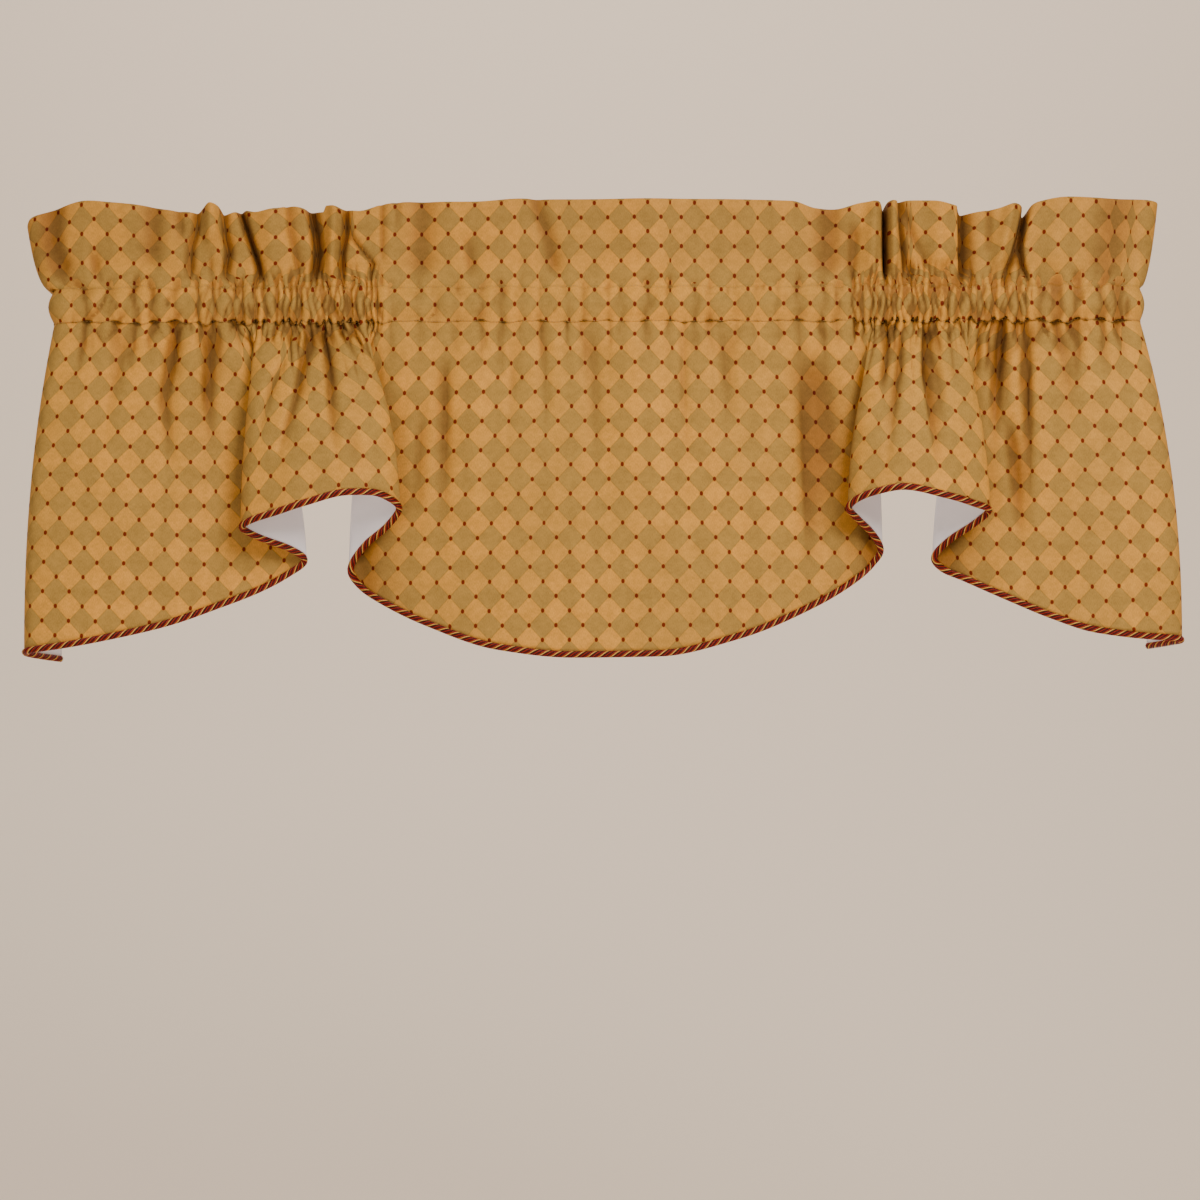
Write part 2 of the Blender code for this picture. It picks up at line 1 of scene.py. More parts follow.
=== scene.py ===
# How the window valance looks: cloth, lining, twisted cord and stitches over the part's solids.
# Metres. The camera is on the -Y side, as in the photograph.
import math
import bpy
import numpy as np
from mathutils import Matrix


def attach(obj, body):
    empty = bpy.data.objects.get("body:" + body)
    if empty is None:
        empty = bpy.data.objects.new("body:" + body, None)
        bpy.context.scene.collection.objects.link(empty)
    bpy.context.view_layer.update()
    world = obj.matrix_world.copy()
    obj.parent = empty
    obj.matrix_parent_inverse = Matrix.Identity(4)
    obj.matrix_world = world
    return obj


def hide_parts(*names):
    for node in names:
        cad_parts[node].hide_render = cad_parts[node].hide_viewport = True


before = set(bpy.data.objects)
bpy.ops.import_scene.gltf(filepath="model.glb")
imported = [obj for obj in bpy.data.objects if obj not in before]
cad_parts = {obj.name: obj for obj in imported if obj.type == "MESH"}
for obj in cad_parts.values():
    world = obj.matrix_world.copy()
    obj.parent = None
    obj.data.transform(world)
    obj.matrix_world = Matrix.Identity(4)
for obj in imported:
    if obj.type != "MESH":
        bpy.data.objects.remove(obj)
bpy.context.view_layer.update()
scene = bpy.context.scene


def table(names, rows):
    # rows of numbers as one array for each named column
    return dict(zip(names.split(), np.array(rows, dtype=float).T))


def softStep(value, start, end):
    # u*u*(3 - 2*u), with u from 0 at start to 1 at end
    u = np.clip((value - start) / (end - start), 0.0, 1.0)
    return u * u * (3 - 2 * u)


def through(knots, values, at):
    # cubic Hermite pieces whose slope at a knot is the harmonic mean of the slopes beside it, or level
    # at a turning point, so the curve never overshoots its values
    step = np.diff(knots)
    slope = np.diff(values) / step
    before = slope[:-1]
    after = slope[1:]
    same = before * after > 0
    mean = np.where(same, 2 * before * after / np.where(same, before + after, 1.0), 0.0)
    tangent = np.concatenate([slope[:1], mean, slope[-1:]])
    i = np.clip(np.searchsorted(knots, at) - 1, 0, len(step) - 1)
    u = (at - knots[i]) / step[i]
    rise = values[i + 1] - values[i]
    first = tangent[i] * step[i]
    last = tangent[i + 1] * step[i]
    return values[i] + u * (first + u * (3 * rise - 2 * first - last + u * (first + last - 2 * rise)))


def unit(vectors):
    # each vector over its own length
    return vectors / np.maximum(np.linalg.norm(vectors, axis=-1, keepdims=True), 1e-12)


def squareTo(vectors, along):
    # what is left of each vector without its share along a unit vector, v - a*(v.a), made unit
    return unit(vectors - along * np.sum(vectors * along, axis=-1, keepdims=True))


def gridNormals(points):
    # the cross product of the steps down and across the grid, which looks to the cloth's face
    across = np.gradient(points, axis=0)
    down = np.gradient(points, axis=1)
    return unit(np.cross(down, across))


def dent(distance, left, right):
    # exp(-(d/w)^2), with a width of its own on each side of the fold's line
    width = np.where(distance < 0, left, right)
    return np.exp(-((distance / width) ** 2))


def evenPlaces(marks, pitches):
    # places at even steps from mark to mark, each stretch at about its own pitch
    places = [np.array(marks[:1])]
    for start, end, pitch in zip(marks[:-1], marks[1:], pitches):
        places.append(np.linspace(start, end, max(int(round((end - start) / pitch)), 2) + 1)[1:])
    return np.concatenate(places)


def neighbours(values, wide, tall):
    # every value's neighbours, as copies of the grid shifted by up to wide columns and tall rows
    spaced = np.pad(values, ((wide, wide), (tall, tall)), mode="edge")
    columns, rows = values.shape
    shifts = [(i, j) for i in range(2 * wide + 1) for j in range(2 * tall + 1)]
    return [spaced[i:i + columns, j:j + rows] for i, j in shifts]


# The cloth's stations, from the left return's back edge to the right one's. Top places are on the
# pocket's seam and hem places on the cord's middle line, as in the part's solids.
stations = table("topX topY hemX hemY hemZ ease", [
    (-0.5180, 0.0650, -0.5264, 0.0650, -0.4305, 1.3),  # left back edge
    (-0.5205, 0.0360, -0.5410, 0.0340, -0.4290, 1.6),  # left return
    (-0.5200, 0.0130, -0.5490, 0.0115, -0.4272, 2.2),  # left corner, back
    (-0.5090, 0.0015, -0.5400, -0.0040, -0.4255, 2.2),  # left corner, front
    (-0.4860, 0.0000, -0.5134, -0.0090, -0.4220, 2.0),  # left panel, outer
    (-0.4570, 0.0000, -0.4753, -0.0100, -0.4154, 1.7),  # left panel, full
    (-0.4120, 0.0000, -0.4136, -0.0030, -0.4008, 1.5),  # left panel, middle
    (-0.3790, 0.0000, -0.3631, 0.0080, -0.3822, 1.5),  # left panel, falling back
    (-0.3560, 0.0000, -0.3300, 0.0170, -0.3683, 1.6),  # left panel, inner
    (-0.3440, 0.0000, -0.3010, 0.0250, -0.3520, 1.7),  # left panel, last
    (-0.3385, 0.0000, -0.2840, 0.0190, -0.3394, 1.7),  # left horn, back fold left
    (-0.3345, 0.0000, -0.2955, 0.0080, -0.3306, 1.7),  # left horn, inside left
    (-0.3300, 0.0000, -0.3261, -0.0150, -0.3198, 1.7),  # left horn, inside left front
    (-0.3245, 0.0000, -0.3382, -0.0275, -0.3126, 1.8),  # left horn, front fold left
    (-0.3180, 0.0000, -0.3290, -0.0395, -0.3078, 1.8),  # left horn, front left
    (-0.3040, 0.0000, -0.3034, -0.0480, -0.3006, 1.7),  # left horn, rise
    (-0.2880, 0.0000, -0.2777, -0.0540, -0.2930, 1.6),  # left horn, crown left
    (-0.2620, 0.0000, -0.2370, -0.0535, -0.2828, 1.6),  # left horn, crown right
    (-0.2485, 0.0000, -0.2153, -0.0475, -0.2822, 1.7),  # left horn, fall
    (-0.2380, 0.0000, -0.1995, -0.0390, -0.2870, 1.8),  # left horn, front right
    (-0.2290, 0.0000, -0.1907, -0.0275, -0.2950, 1.8),  # left horn, front fold right
    (-0.2240, 0.0000, -0.2021, -0.0140, -0.3095, 1.7),  # left horn, inside right front
    (-0.2190, 0.0000, -0.2280, 0.0070, -0.3290, 1.7),  # left horn, inside right
    (-0.2140, 0.0000, -0.2410, 0.0190, -0.3499, 1.7),  # left horn, back fold right
    (-0.2095, 0.0000, -0.2330, 0.0265, -0.3630, 1.7),  # centre, first
    (-0.2020, 0.0000, -0.2130, 0.0165, -0.3775, 1.6),  # centre, left rise
    (-0.1600, 0.0000, -0.1675, 0.0050, -0.4004, 1.5),  # centre, left
    (-0.0970, 0.0000, -0.0999, -0.0060, -0.4237, 1.4),  # centre, left belly
    (-0.0290, 0.0000, -0.0292, -0.0100, -0.4314, 1.4),  # centre, belly
    (0.0500, 0.0000, 0.0518, -0.0100, -0.4305, 1.4),  # centre, belly right
    (0.1230, 0.0000, 0.1264, -0.0040, -0.4141, 1.4),  # centre, right belly
    (0.1930, 0.0000, 0.2018, 0.0060, -0.3823, 1.5),  # centre, right
    (0.2310, 0.0000, 0.2420, 0.0165, -0.3570, 1.6),  # centre, right fall
    (0.2420, 0.0000, 0.2570, 0.0265, -0.3430, 1.7),  # centre, last
    (0.2470, 0.0000, 0.2640, 0.0190, -0.3320, 1.7),  # right horn, back fold left
    (0.2515, 0.0000, 0.2540, 0.0080, -0.3160, 1.7),  # right horn, inside left
    (0.2560, 0.0000, 0.2385, -0.0130, -0.3045, 1.7),  # right horn, inside left front
    (0.2615, 0.0000, 0.2289, -0.0275, -0.2955, 1.8),  # right horn, front fold left
    (0.2680, 0.0000, 0.2365, -0.0390, -0.2885, 1.8),  # right horn, front left
    (0.2770, 0.0000, 0.2560, -0.0475, -0.2821, 1.7),  # right horn, rise
    (0.2900, 0.0000, 0.2775, -0.0535, -0.2791, 1.6),  # right horn, crown left
    (0.3160, 0.0000, 0.3185, -0.0520, -0.2872, 1.6),  # right horn, crown right
    (0.3290, 0.0000, 0.3450, -0.0410, -0.2938, 1.7),  # right horn, front right
    (0.3370, 0.0000, 0.3606, -0.0275, -0.2987, 1.6),  # right horn, front fold right
    (0.3425, 0.0000, 0.3483, -0.0140, -0.3097, 1.7),  # right horn, inside right front
    (0.3475, 0.0000, 0.3261, 0.0080, -0.3245, 1.7),  # right horn, inside right
    (0.3525, 0.0000, 0.3144, 0.0190, -0.3390, 1.7),  # right horn, back fold right
    (0.3575, 0.0000, 0.3225, 0.0265, -0.3480, 1.7),  # right panel, first
    (0.3650, 0.0000, 0.3430, 0.0160, -0.3585, 1.6),  # right panel, inner
    (0.3960, 0.0000, 0.3808, 0.0060, -0.3766, 1.5),  # right panel, falling back
    (0.4250, 0.0000, 0.4249, -0.0020, -0.3961, 1.5),  # right panel, middle
    (0.4530, 0.0000, 0.4616, -0.0080, -0.4087, 1.6),  # right panel, full
    (0.4830, 0.0000, 0.5147, -0.0075, -0.4155, 1.6),  # right panel, outer
    (0.4985, 0.0015, 0.5390, -0.0030, -0.4170, 2.2),  # right corner, front
    (0.5090, 0.0130, 0.5478, 0.0120, -0.4182, 2.2),  # right corner, back
    (0.5095, 0.0360, 0.5400, 0.0340, -0.4195, 1.8),  # right return
    (0.5070, 0.0650, 0.5275, 0.0650, -0.4208, 1.3),  # right back edge
])
clothAt = np.concatenate([[0.0], np.cumsum(np.hypot(np.diff(stations["hemX"]), np.diff(stations["hemY"])))])
clothWidth = clothAt[-1]

# Stations between which the pattern keeps its count of threads: the panels' corners, the horns' back
# and front folds, their crowns, and the middle of the centre
zoneEnds = [0, 4.5, 10, 13, 16.2, 20, 23, 25, 28.5, 32, 34, 37, 40.4, 43, 46, 51.5, 56]

# The stations between which the cloth looks to the front
frontSpans = [(3, 9), (13, 20), (24, 33), (37, 43), (47, 53)]

pocket = {
    "top": -0.084, "bottom": -0.116, "halfDepth": 0.0052,  # heights of its seams, and half its thickness
    "left": -0.5195, "right": 0.5085,  # outer sides of its returns
    "corner": 0.016, "returnDepth": 0.065,  # radius of the rod's corners, and how far back its ends are
    "seamGap": 0.0003,  # from its lower seam up to the drop's first row
}
camera = {
    "eye": (-0.004, -2.5, -0.559), "roll": 0.15,  # metres and degrees
    "lens": 79.4, "shift": 0.1583, "sensor": 36.0, "clipEnd": 30.0,
}

# Folds of the drop: name, depth back into the cloth, widths left and right of the line, the share
# of its zone's gathered cloth that it hides, and its line from top to bottom as the camera sees it
# on the pocket's plane, (x, z) in millimetres. Depths and widths are in millimetres too.
dropFolds = [
    ("left panel, outer trough", 3.2, 7, 7, 0.05,
     [(-449, -120), (-454, -140), (-459, -163), (-465, -191)]),
    ("left panel, middle trough", 6.0, 5, 8, 0.18,
     [(-404, -117), (-411, -148), (-416, -191), (-414, -206), (-410, -238)]),
    ("left panel, inner trough", 6.0, 6, 7, 0.14,
     [(-374, -117), (-372, -153), (-373, -191), (-371, -219)]),
    ("left panel, ridge", -2.5, 9, 9, 0,
     [(-391, -125), (-393, -191), (-395, -257)]),
    ("left horn, short left trough", 3.2, 5, 5, 0.06,
     [(-300, -148), (-311, -170), (-318, -190), (-323, -210)]),
    ("left horn, dark fold", 6.2, 3, 8, 0.24,
     [(-278, -117), (-281, -140), (-287, -162), (-290, -181), (-300, -212), (-307, -240)]),
    ("left horn, middle trough", 5.2, 4, 7, 0.2,
     [(-268, -117), (-262, -143), (-259, -170), (-258, -190), (-255, -226), (-251, -249)]),
    ("left horn, right line", 2.6, 2.5, 4, 0.06,
     [(-254, -117), (-247, -129), (-233, -150), (-225, -168)]),
    ("left horn, last line", 2.6, 2.5, 4, 0.06,
     [(-249, -113), (-241, -123), (-225, -140), (-215, -155)]),
    ("left horn, soft low trough", 2.2, 7, 7, 0,
     [(-238, -215), (-235, -233), (-231, -255)]),
    ("centre, by the left horn", 3.0, 6, 7, 0,
     [(-170, -191), (-174, -229), (-177, -281)]),
    ("centre, left trough", 4.4, 9, 5.5, 0.02,
     [(-149, -146), (-150, -225), (-152, -310)]),
    ("centre, left ridge", -2.0, 13, 13, 0,
     [(-122, -134), (-120, -210), (-122, -304)]),
    ("centre, faint trough", 2.4, 4, 5, 0.03,
     [(-86, -128), (-86, -160), (-87, -206)]),
    ("centre, narrow trough", 2.6, 4, 5, 0.05,
     [(-56, -115), (-57, -153), (-55, -196)]),
    ("centre, middle trough", 2.8, 7, 8, 0.05,
     [(-11, -120), (-8, -191), (-6, -248)]),
    ("centre, ridge", -2.2, 18, 18, 0,
     [(30, -125), (34, -238), (35, -342)]),
    ("centre, right narrow trough", 3.0, 4, 5, 0.07,
     [(76, -115), (75, -172), (79, -238)]),
    ("centre, right trough", 3.2, 6, 8, 0.03,
     [(113, -117), (114, -150), (118, -196)]),
    ("centre, line in the shade", 3.0, 3, 8, 0.02,
     [(187, -184), (190, -262), (193, -345)]),
    ("centre, shaded trough", 5.2, 22, 20, 0.05,
     [(193, -144), (208, -219), (204, -342)]),
    ("right horn, ridge", -3.0, 3, 4, 0,
     [(277, -113), (265, -124), (256, -135), (251, -147)]),
    ("right horn, left trough", 4.6, 5, 5, 0.16,
     [(270, -119), (268, -144), (265, -163), (265, -180)]),
    ("right horn, second trough", 4.6, 6, 4, 0.18,
     [(282, -125), (280, -163), (277, -176), (275, -195), (271, -230), (267, -251)]),
    ("right horn, sharp fold", 7.2, 2.2, 9, 0.3,
     [(303, -113), (303, -163), (307, -196), (312, -237), (316, -256)]),
    ("right horn, soft trough", 3.0, 5, 5, 0.05,
     [(312, -150), (318, -176), (319, -200)]),
    ("right panel, small pleat", 2.6, 2.0, 6, 0.1,
     [(358, -113), (354, -138), (351, -163), (349, -178)]),
    ("right panel, dark fold", 8.6, 6, 7, 0.18,
     [(376, -117), (375, -138), (373, -163), (371, -183), (370, -210)]),
    ("right panel, narrow trough", 7.2, 8, 1.6, 0.06,
     [(402, -120), (404, -163), (404, -216), (403, -285)]),
    ("right panel, low trough", 6.0, 7, 7, 0,
     [(383, -210), (388, -248), (393, -310)]),
    ("right panel, outer trough", 3.0, 9, 10, 0.05,
     [(433, -117), (437, -153), (440, -210)]),
]

# Cloth that slips behind a horn: stations it lies between, and its share of the zone's gathers
hiddenStretches = [(8.3, 10, 0.50), (46, 47.5, 0.50)]

# Folds of the frill, as above
frillFolds = [
    ("left trough", 5.6, 12, 7,
     [(-494, -11), (-498, -42), (-495, -60), (-499, -87)]),
    ("left crease into the pocket", 4.4, 2.4, 3,
     [(-472, -54), (-472, -114)]),
    ("first small crease", 2.2, 3, 3,
     [(-452, -87), (-452, -110)]),
    ("second small crease", 2.6, 4, 4,
     [(-438, -84), (-431, -114)]),
    ("third small crease", 3.0, 2.4, 3,
     [(-412, -88), (-404, -115)]),
    ("crease under the pleat", 3.2, 2.2, 3,
     [(-388, -92), (-384, -115)]),
    ("right crease into the pocket", 3.4, 2.4, 4,
     [(420, -72), (424, -114)]),
    ("right small crease", 3.4, 3, 2.4,
     [(446, -78), (441, -112)]),
    ("right end crease", 3.4, 3, 3,
     [(476, -74), (468, -112)]),
    ("second trough", 3.0, 10, 10,
     [(-424, -7), (-426, -59)]),
    ("pleat by the roll", 3.2, 6, 3,
     [(-400, -9), (-397, -36)]),
    ("long crease by the roll", 5.4, 4, 5,
     [(-383, -9), (-384, -28), (-390, -46), (-391, -77), (-394, -104)]),
    ("roll", -8.0, 7, 8,
     [(-369, -2), (-369, -43)]),
    ("line under the roll", 2.6, 2, 3,
     [(-371, -60), (-371, -115)]),
    ("dark line past the roll", 7.0, 2.6, 6,
     [(-361, -6), (-359, -32), (-355, -48), (-358, -72), (-351, -89)]),
    ("brown stripe", 11.0, 3.4, 4.4,
     [(-344, -8), (-341, -16), (-335, -35), (-326, -61), (-324, -72), (-325, -89)]),
    ("first pipe", -5.0, 12, 10,
     [(-314, -8), (-308, -77)]),
    ("thin line", 3.2, 1.6, 7,
     [(-299, -6), (-297, -32), (-292, -52), (-289, -76)]),
    ("dark fold", 11.0, 3.2, 7.5,
     [(-278, -8), (-273, -32), (-271, -49), (-273, -66), (-276, -87)]),
    ("second pipe", -6.0, 6, 5,
     [(-253, -8), (-256, -77)]),
    ("soft dark fold", 7.5, 4.5, 4,
     [(-243, -13), (-243, -32), (-247, -52), (-247, -77)]),
    ("dent", 4.6, 3, 3,
     [(-237, -36), (-227, -49), (-217, -61), (-220, -72), (-226, -87)]),
    ("crease past the pipes", 2.4, 2, 4,
     [(-209, -6), (-209, -57)]),
    ("short crease", 2.0, 2, 3,
     [(-194, -5), (-194, -28)]),
    ("centre left trough", 2.8, 12, 12,
     [(-170, -7), (-173, -82)]),
    ("centre slanting crease", 2.8, 4, 6,
     [(-128, -42), (-122, -96)]),
    ("centre pocket crease, far left", 3.2, 2.4, 3,
     [(-101, -82), (-101, -116)]),
    ("centre trough", 3.4, 6, 8,
     [(-63, -7), (-52, -37), (-44, -80)]),
    ("centre pocket crease, left", 2.4, 2.4, 2.6,
     [(-7, -84), (-7, -114)]),
    ("centre pocket crease, middle", 2.6, 2.4, 2.6,
     [(65, -82), (65, -116)]),
    ("centre pocket crease, right", 2.6, 2.4, 2.6,
     [(90, -82), (90, -114)]),
    ("centre pocket crease, under the brown fold", 3.0, 2.4, 3,
     [(112, -82), (112, -117)]),
    ("centre pocket crease, far right", 2.4, 2.4, 2.6,
     [(137, -83), (137, -115)]),
    ("centre pocket crease, last", 2.4, 2.4, 2.6,
     [(161, -83), (161, -113)]),
    ("centre pocket crease, by the right horn", 3.6, 2.6, 3.5,
     [(184, -72), (185, -107)]),
    ("centre ridge", -3.0, 30, 30,
     [(40, -2), (40, -82)]),
    ("right trough", 3.4, 13, 12,
     [(214, -7), (212, -82)]),
    ("soft dent before the gap", 3.6, 6, 6,
     [(238, -30), (235, -83)]),
    ("ridge before the gap", -5.0, 7, 5,
     [(257, -6), (253, -82)]),
    ("deep gap", 15.0, 2.4, 3.2,
     [(266, -2), (266, -40), (267, -83)]),
    ("ridge past the gap", -4.5, 4, 4,
     [(274, -5), (276, -77)]),
    ("sharp line", 7.0, 1.3, 5,
     [(279, -3), (280, -28), (283, -58), (285, -83)]),
    ("hole by the seam", 9.0, 3.4, 3.6,
     [(290, -68), (291, -91)]),
    ("slanting crease", 3.2, 3, 5,
     [(285, -13), (292, -36), (302, -55), (308, -76)]),
    ("crease over the pleat's foot", 3.8, 3, 4,
     [(334, -55), (319, -69), (310, -79)]),
    ("wide pleat", -5.5, 12, 12,
     [(318, -6), (318, -68)]),
    ("under the pleat", 10.0, 1.3, 10,
     [(336, -5), (337, -68), (342, -85)]),
    ("crease", 2.2, 4, 4,
     [(365, -11), (365, -54)]),
    ("last pipe", -5.5, 7, 5,
     [(387, -8), (380, -40), (372, -68)]),
    ("last pipe's edge", 9.0, 1.8, 5,
     [(400, -6), (393, -33), (387, -53), (378, -74), (376, -88)]),
    ("last gap", 8.5, 5, 2.2,
     [(401, -8), (395, -47), (397, -64), (407, -89)]),
    ("right ridge", -4.5, 14, 14,
     [(431, -6), (425, -68)]),
    ("right trough", 3.0, 14, 14,
     [(473, -6), (469, -82)]),
]

# The frill's top edge, by its place along the rod's front
frillTop = table("x z", [
    (-0.5850, -0.0270), (-0.5290, -0.0235), (-0.5160, -0.0165), (-0.5035, -0.0123), (-0.4885, -0.0062),
    (-0.4735, -0.0008), (-0.4585, -0.0026), (-0.4330, -0.0057), (-0.4060, -0.0104), (-0.3840, -0.0123),
    (-0.3770, -0.0090), (-0.3700, -0.0050), (-0.3635, -0.0068), (-0.3580, -0.0140), (-0.3390, -0.0104),
    (-0.3280, -0.0123), (-0.3090, -0.0095), (-0.2940, -0.0066), (-0.2760, -0.0104), (-0.2640, -0.0123),
    (-0.2610, -0.0066), (-0.2457, -0.0095), (-0.2306, -0.0113), (-0.2050, -0.0047), (-0.1786, -0.0028),
    (-0.1229, -0.0028), (-0.0775, 0.0), (-0.0473, -0.0009), (0.0151, -0.0009), (0.0898, -0.0009),
    (0.1786, -0.0028), (0.2013, -0.0095), (0.2202, -0.0104), (0.2466, -0.0047), (0.2600, -0.0042),
    (0.2655, -0.0090), (0.2700, -0.0038), (0.2948, -0.0028), (0.3326, -0.0076), (0.3360, -0.0085),
    (0.3388, -0.0150), (0.3695, -0.0113), (0.3922, -0.0066), (0.3960, -0.0080), (0.3992, -0.0150),
    (0.4060, -0.0070), (0.4111, -0.0045), (0.4290, -0.0015), (0.4479, 0.0), (0.5000, -0.0030),
    (0.5740, -0.0060),
])

# How the frill leans out past each end of the rod: how far at the top, from how far inside the end,
# how much of it the pocket takes, and the power of height by which it grows, left and right
lean = {"left": 0.0265, "right": 0.0180, "reach": 0.060, "foot": 0.0010, "full": 0.028, "power": (0.38, 0.5)}

# Small pleats that the pocket's stitches draw up. Each stretch along the rod has its pitch, and the
# pleats' depth, width, and reach above and below the pocket.
pleatStretches = [
    (-0.5000, -0.3900, 0.0215, 0.0026, 0.0036, 0.012, 0.030),
    (-0.3900, -0.3440, 0.0150, 0.0030, 0.0028, 0.014, 0.026),
    (-0.3440, -0.3060, 0.0090, 0.0034, 0.0017, 0.016, 0.024),
    (-0.3060, -0.2090, 0.0066, 0.0037, 0.0013, 0.018, 0.032),
    (-0.2090, 0.2330, 0.0205, 0.0018, 0.0038, 0.010, 0.026),
    (0.2330, 0.2500, 0.0080, 0.0034, 0.0015, 0.016, 0.022),
    (0.2500, 0.3200, 0.0064, 0.0037, 0.0013, 0.018, 0.032),
    (0.3200, 0.4060, 0.0105, 0.0034, 0.0018, 0.018, 0.026),
    (0.4060, 0.4980, 0.0180, 0.0036, 0.0036, 0.014, 0.026),
]
pleatSettings = {
    "seed": 7, "stray": 0.28, "vary": (0.62, 1.3),  # how far places stray, in pitches, and sizes vary
    "dent": 0.65, "puff": 0.35,  # shares of the depth in the narrow dent and in the broad wave
    "seam": 0.45, "turn": 2.1,  # how far seams stray, over the depth, and the rate of their second wave
    "ends": (-0.505, -0.485, 0.480, 0.502),  # where the pleats fade in and out along the rod
}

# Two waves that make the pleats wander: how far, the height of one radian, and its drift along the rod
wanders = [(0.0013, 0.0047, 150), (0.0010, 0.0093, -110)]


def makePleats():
    # places at start + pitch*(i + 0.5 + stray), with each pleat's sizes varied by about a third
    rng = np.random.default_rng(pleatSettings["seed"])
    stray = pleatSettings["stray"]
    rows = []
    for start, end, pitch, depth, width, up, down in pleatStretches:
        count = max(int(round((end - start) / pitch)), 1)
        steps = np.arange(count) + 0.5 + rng.uniform(-stray, stray, count)
        places = start + (end - start) * steps / count
        vary = rng.uniform(*pleatSettings["vary"], (4, count))
        sizes = [size * change for size, change in zip((depth, width, up, down), vary)]
        rows.append(np.column_stack([places, *sizes]))
    return dict(zip("at depth width up down".split(), np.concatenate(rows).T))


pleats = makePleats()


def wander(place, z):
    # how far a pleat strays from its place: the sum of far*sin(z/height + drift*place)
    return sum(far * np.sin(z / height + drift * place) for far, height, drift in wanders)


def pleatPhase(place):
    # the number of the pleat at a place, a fraction between two of them, and the pleats' depth there,
    # which fades out where the rod turns
    phase = np.interp(place, pleats["at"], np.arange(len(pleats["at"]), dtype=float))
    depth = np.interp(place, pleats["at"], pleats["depth"])
    leftEnd, leftFull, rightFull, rightEnd = pleatSettings["ends"]
    edge = softStep(place, leftEnd, leftFull) * (1 - softStep(place, rightFull, rightEnd))
    return phase, depth * edge


def pleatWave(place):
    # how far the pleats push back, and their reach up and down: a narrow dent exp(-(d/w)^2) at each
    # pleat, over a broad wave 0.5 + 0.5*cos(2*pi*phase) that leaves a puff between two of them
    phase, depth = pleatPhase(place)
    nearest = np.clip(np.round(phase).astype(int), 0, len(pleats["at"]) - 1)
    distance = place - pleats["at"][nearest]
    narrow = np.exp(-((distance / pleats["width"][nearest]) ** 2))
    broad = 0.5 + 0.5 * np.cos(2 * np.pi * phase)
    wave = depth * (pleatSettings["dent"] * narrow + pleatSettings["puff"] * broad)
    up = np.interp(place, pleats["at"], pleats["up"])
    down = np.interp(place, pleats["at"], pleats["down"])
    return wave, up, down


def seamShift(place):
    # how far the gathers pull the seams out of line: depth * seam * (cos(2*pi*phase) + sin(turn*phase))
    phase, depth = pleatPhase(place)
    seam = pleatSettings["seam"]
    return depth * (seam * np.cos(2 * np.pi * phase) + seam * np.sin(pleatSettings["turn"] * phase))


# Sets of scattered creases: the stretch along the rod, how many, their lowest and highest middles, the
# spread of their lean, and their middling width, half height and depth
creaseSets = [
    (-0.345, -0.208, 120, -0.130, -0.074, 0.34, 0.0015, 0.0080, 0.0019),
    (0.236, 0.345, 100, -0.130, -0.074, 0.34, 0.0015, 0.0080, 0.0019),
    (0.345, 0.410, 46, -0.130, -0.074, 0.34, 0.0016, 0.0080, 0.0019),
    (-0.500, -0.345, 40, -0.128, -0.076, 0.45, 0.0019, 0.0085, 0.0018),
    (0.410, 0.495, 34, -0.128, -0.076, 0.45, 0.0019, 0.0085, 0.0019),
    (-0.200, 0.230, 40, -0.126, -0.078, 0.40, 0.0018, 0.0070, 0.0014),
    (-0.318, -0.222, 24, -0.170, -0.122, 0.05, 0.0013, 0.0160, 0.0013),
    (0.256, 0.340, 22, -0.175, -0.122, 0.05, 0.0013, 0.0160, 0.0013),
    (0.352, 0.410, 9, -0.190, -0.125, 0.05, 0.0022, 0.0180, 0.0013),
    (-0.490, -0.350, 12, -0.180, -0.120, 0.06, 0.0028, 0.0170, 0.0011),
]
creaseSettings = {"seed": 21, "size": (0.6, 1.4), "depth": (0.5, 1.5)}  # least and most, over the middling


def makeCreases():
    # short creases scattered over the gathers: place on the rod, height, lean, width, half height, depth
    rng = np.random.default_rng(creaseSettings["seed"])
    size = creaseSettings["size"]
    rows = []
    for start, end, count, low, high, leaning, width, reach, depth in creaseSets:
        rows.append(np.column_stack([
            rng.uniform(start, end, count), rng.uniform(low, high, count), rng.normal(0, leaning, count),
            width * rng.uniform(*size, count), reach * rng.uniform(*size, count),
            depth * rng.uniform(*creaseSettings["depth"], count)]))
    return np.concatenate(rows)


creases = makeCreases()


def creaseWave(place, z):
    # the sum of depth * exp(-((place - at - lean*(z - height)) / width)^2 - ((z - height) / reach)^2)
    total = np.zeros(np.broadcast(place, z).shape)
    for at, height, leaning, width, reach, depth in creases:
        rise = z - height
        total += depth * np.exp(-(((place - at - leaning * rise) / width) ** 2) - (rise / reach) ** 2)
    return total


def rowLengths(x, y):
    # length along each row from its left end, by Pythagoras from one column to the next
    steps = np.hypot(np.diff(x, axis=0), np.diff(y, axis=0))
    return np.concatenate([np.zeros((1, x.shape[1])), np.cumsum(steps, axis=0)])


def along(values, place):
    # values between the columns, at one column number for each row, as a fraction
    low = np.clip(place.astype(int), 0, len(values) - 2)
    rows = np.arange(values.shape[1])
    share = place - low
    return values[low, rows] * (1 - share) + values[low + 1, rows] * share


def smoothHang(s, t):
    # the drop before its folds: each place moves from seam to hem by 1 - (1 - t)^ease
    topX, topY, hemX, hemY, hemZ, ease = (
        through(clothAt, stations[name], s)[:, None]
        for name in ("topX", "topY", "hemX", "hemY", "hemZ", "ease"))
    down = 1 - (1 - t[None, :]) ** ease
    x = topX + (hemX - topX) * down
    y = topY + (hemY - topY) * down
    seam = pocket["bottom"] + pocket["seamGap"]
    z = seam + (hemZ - seam) * t[None, :]
    return x, y, z


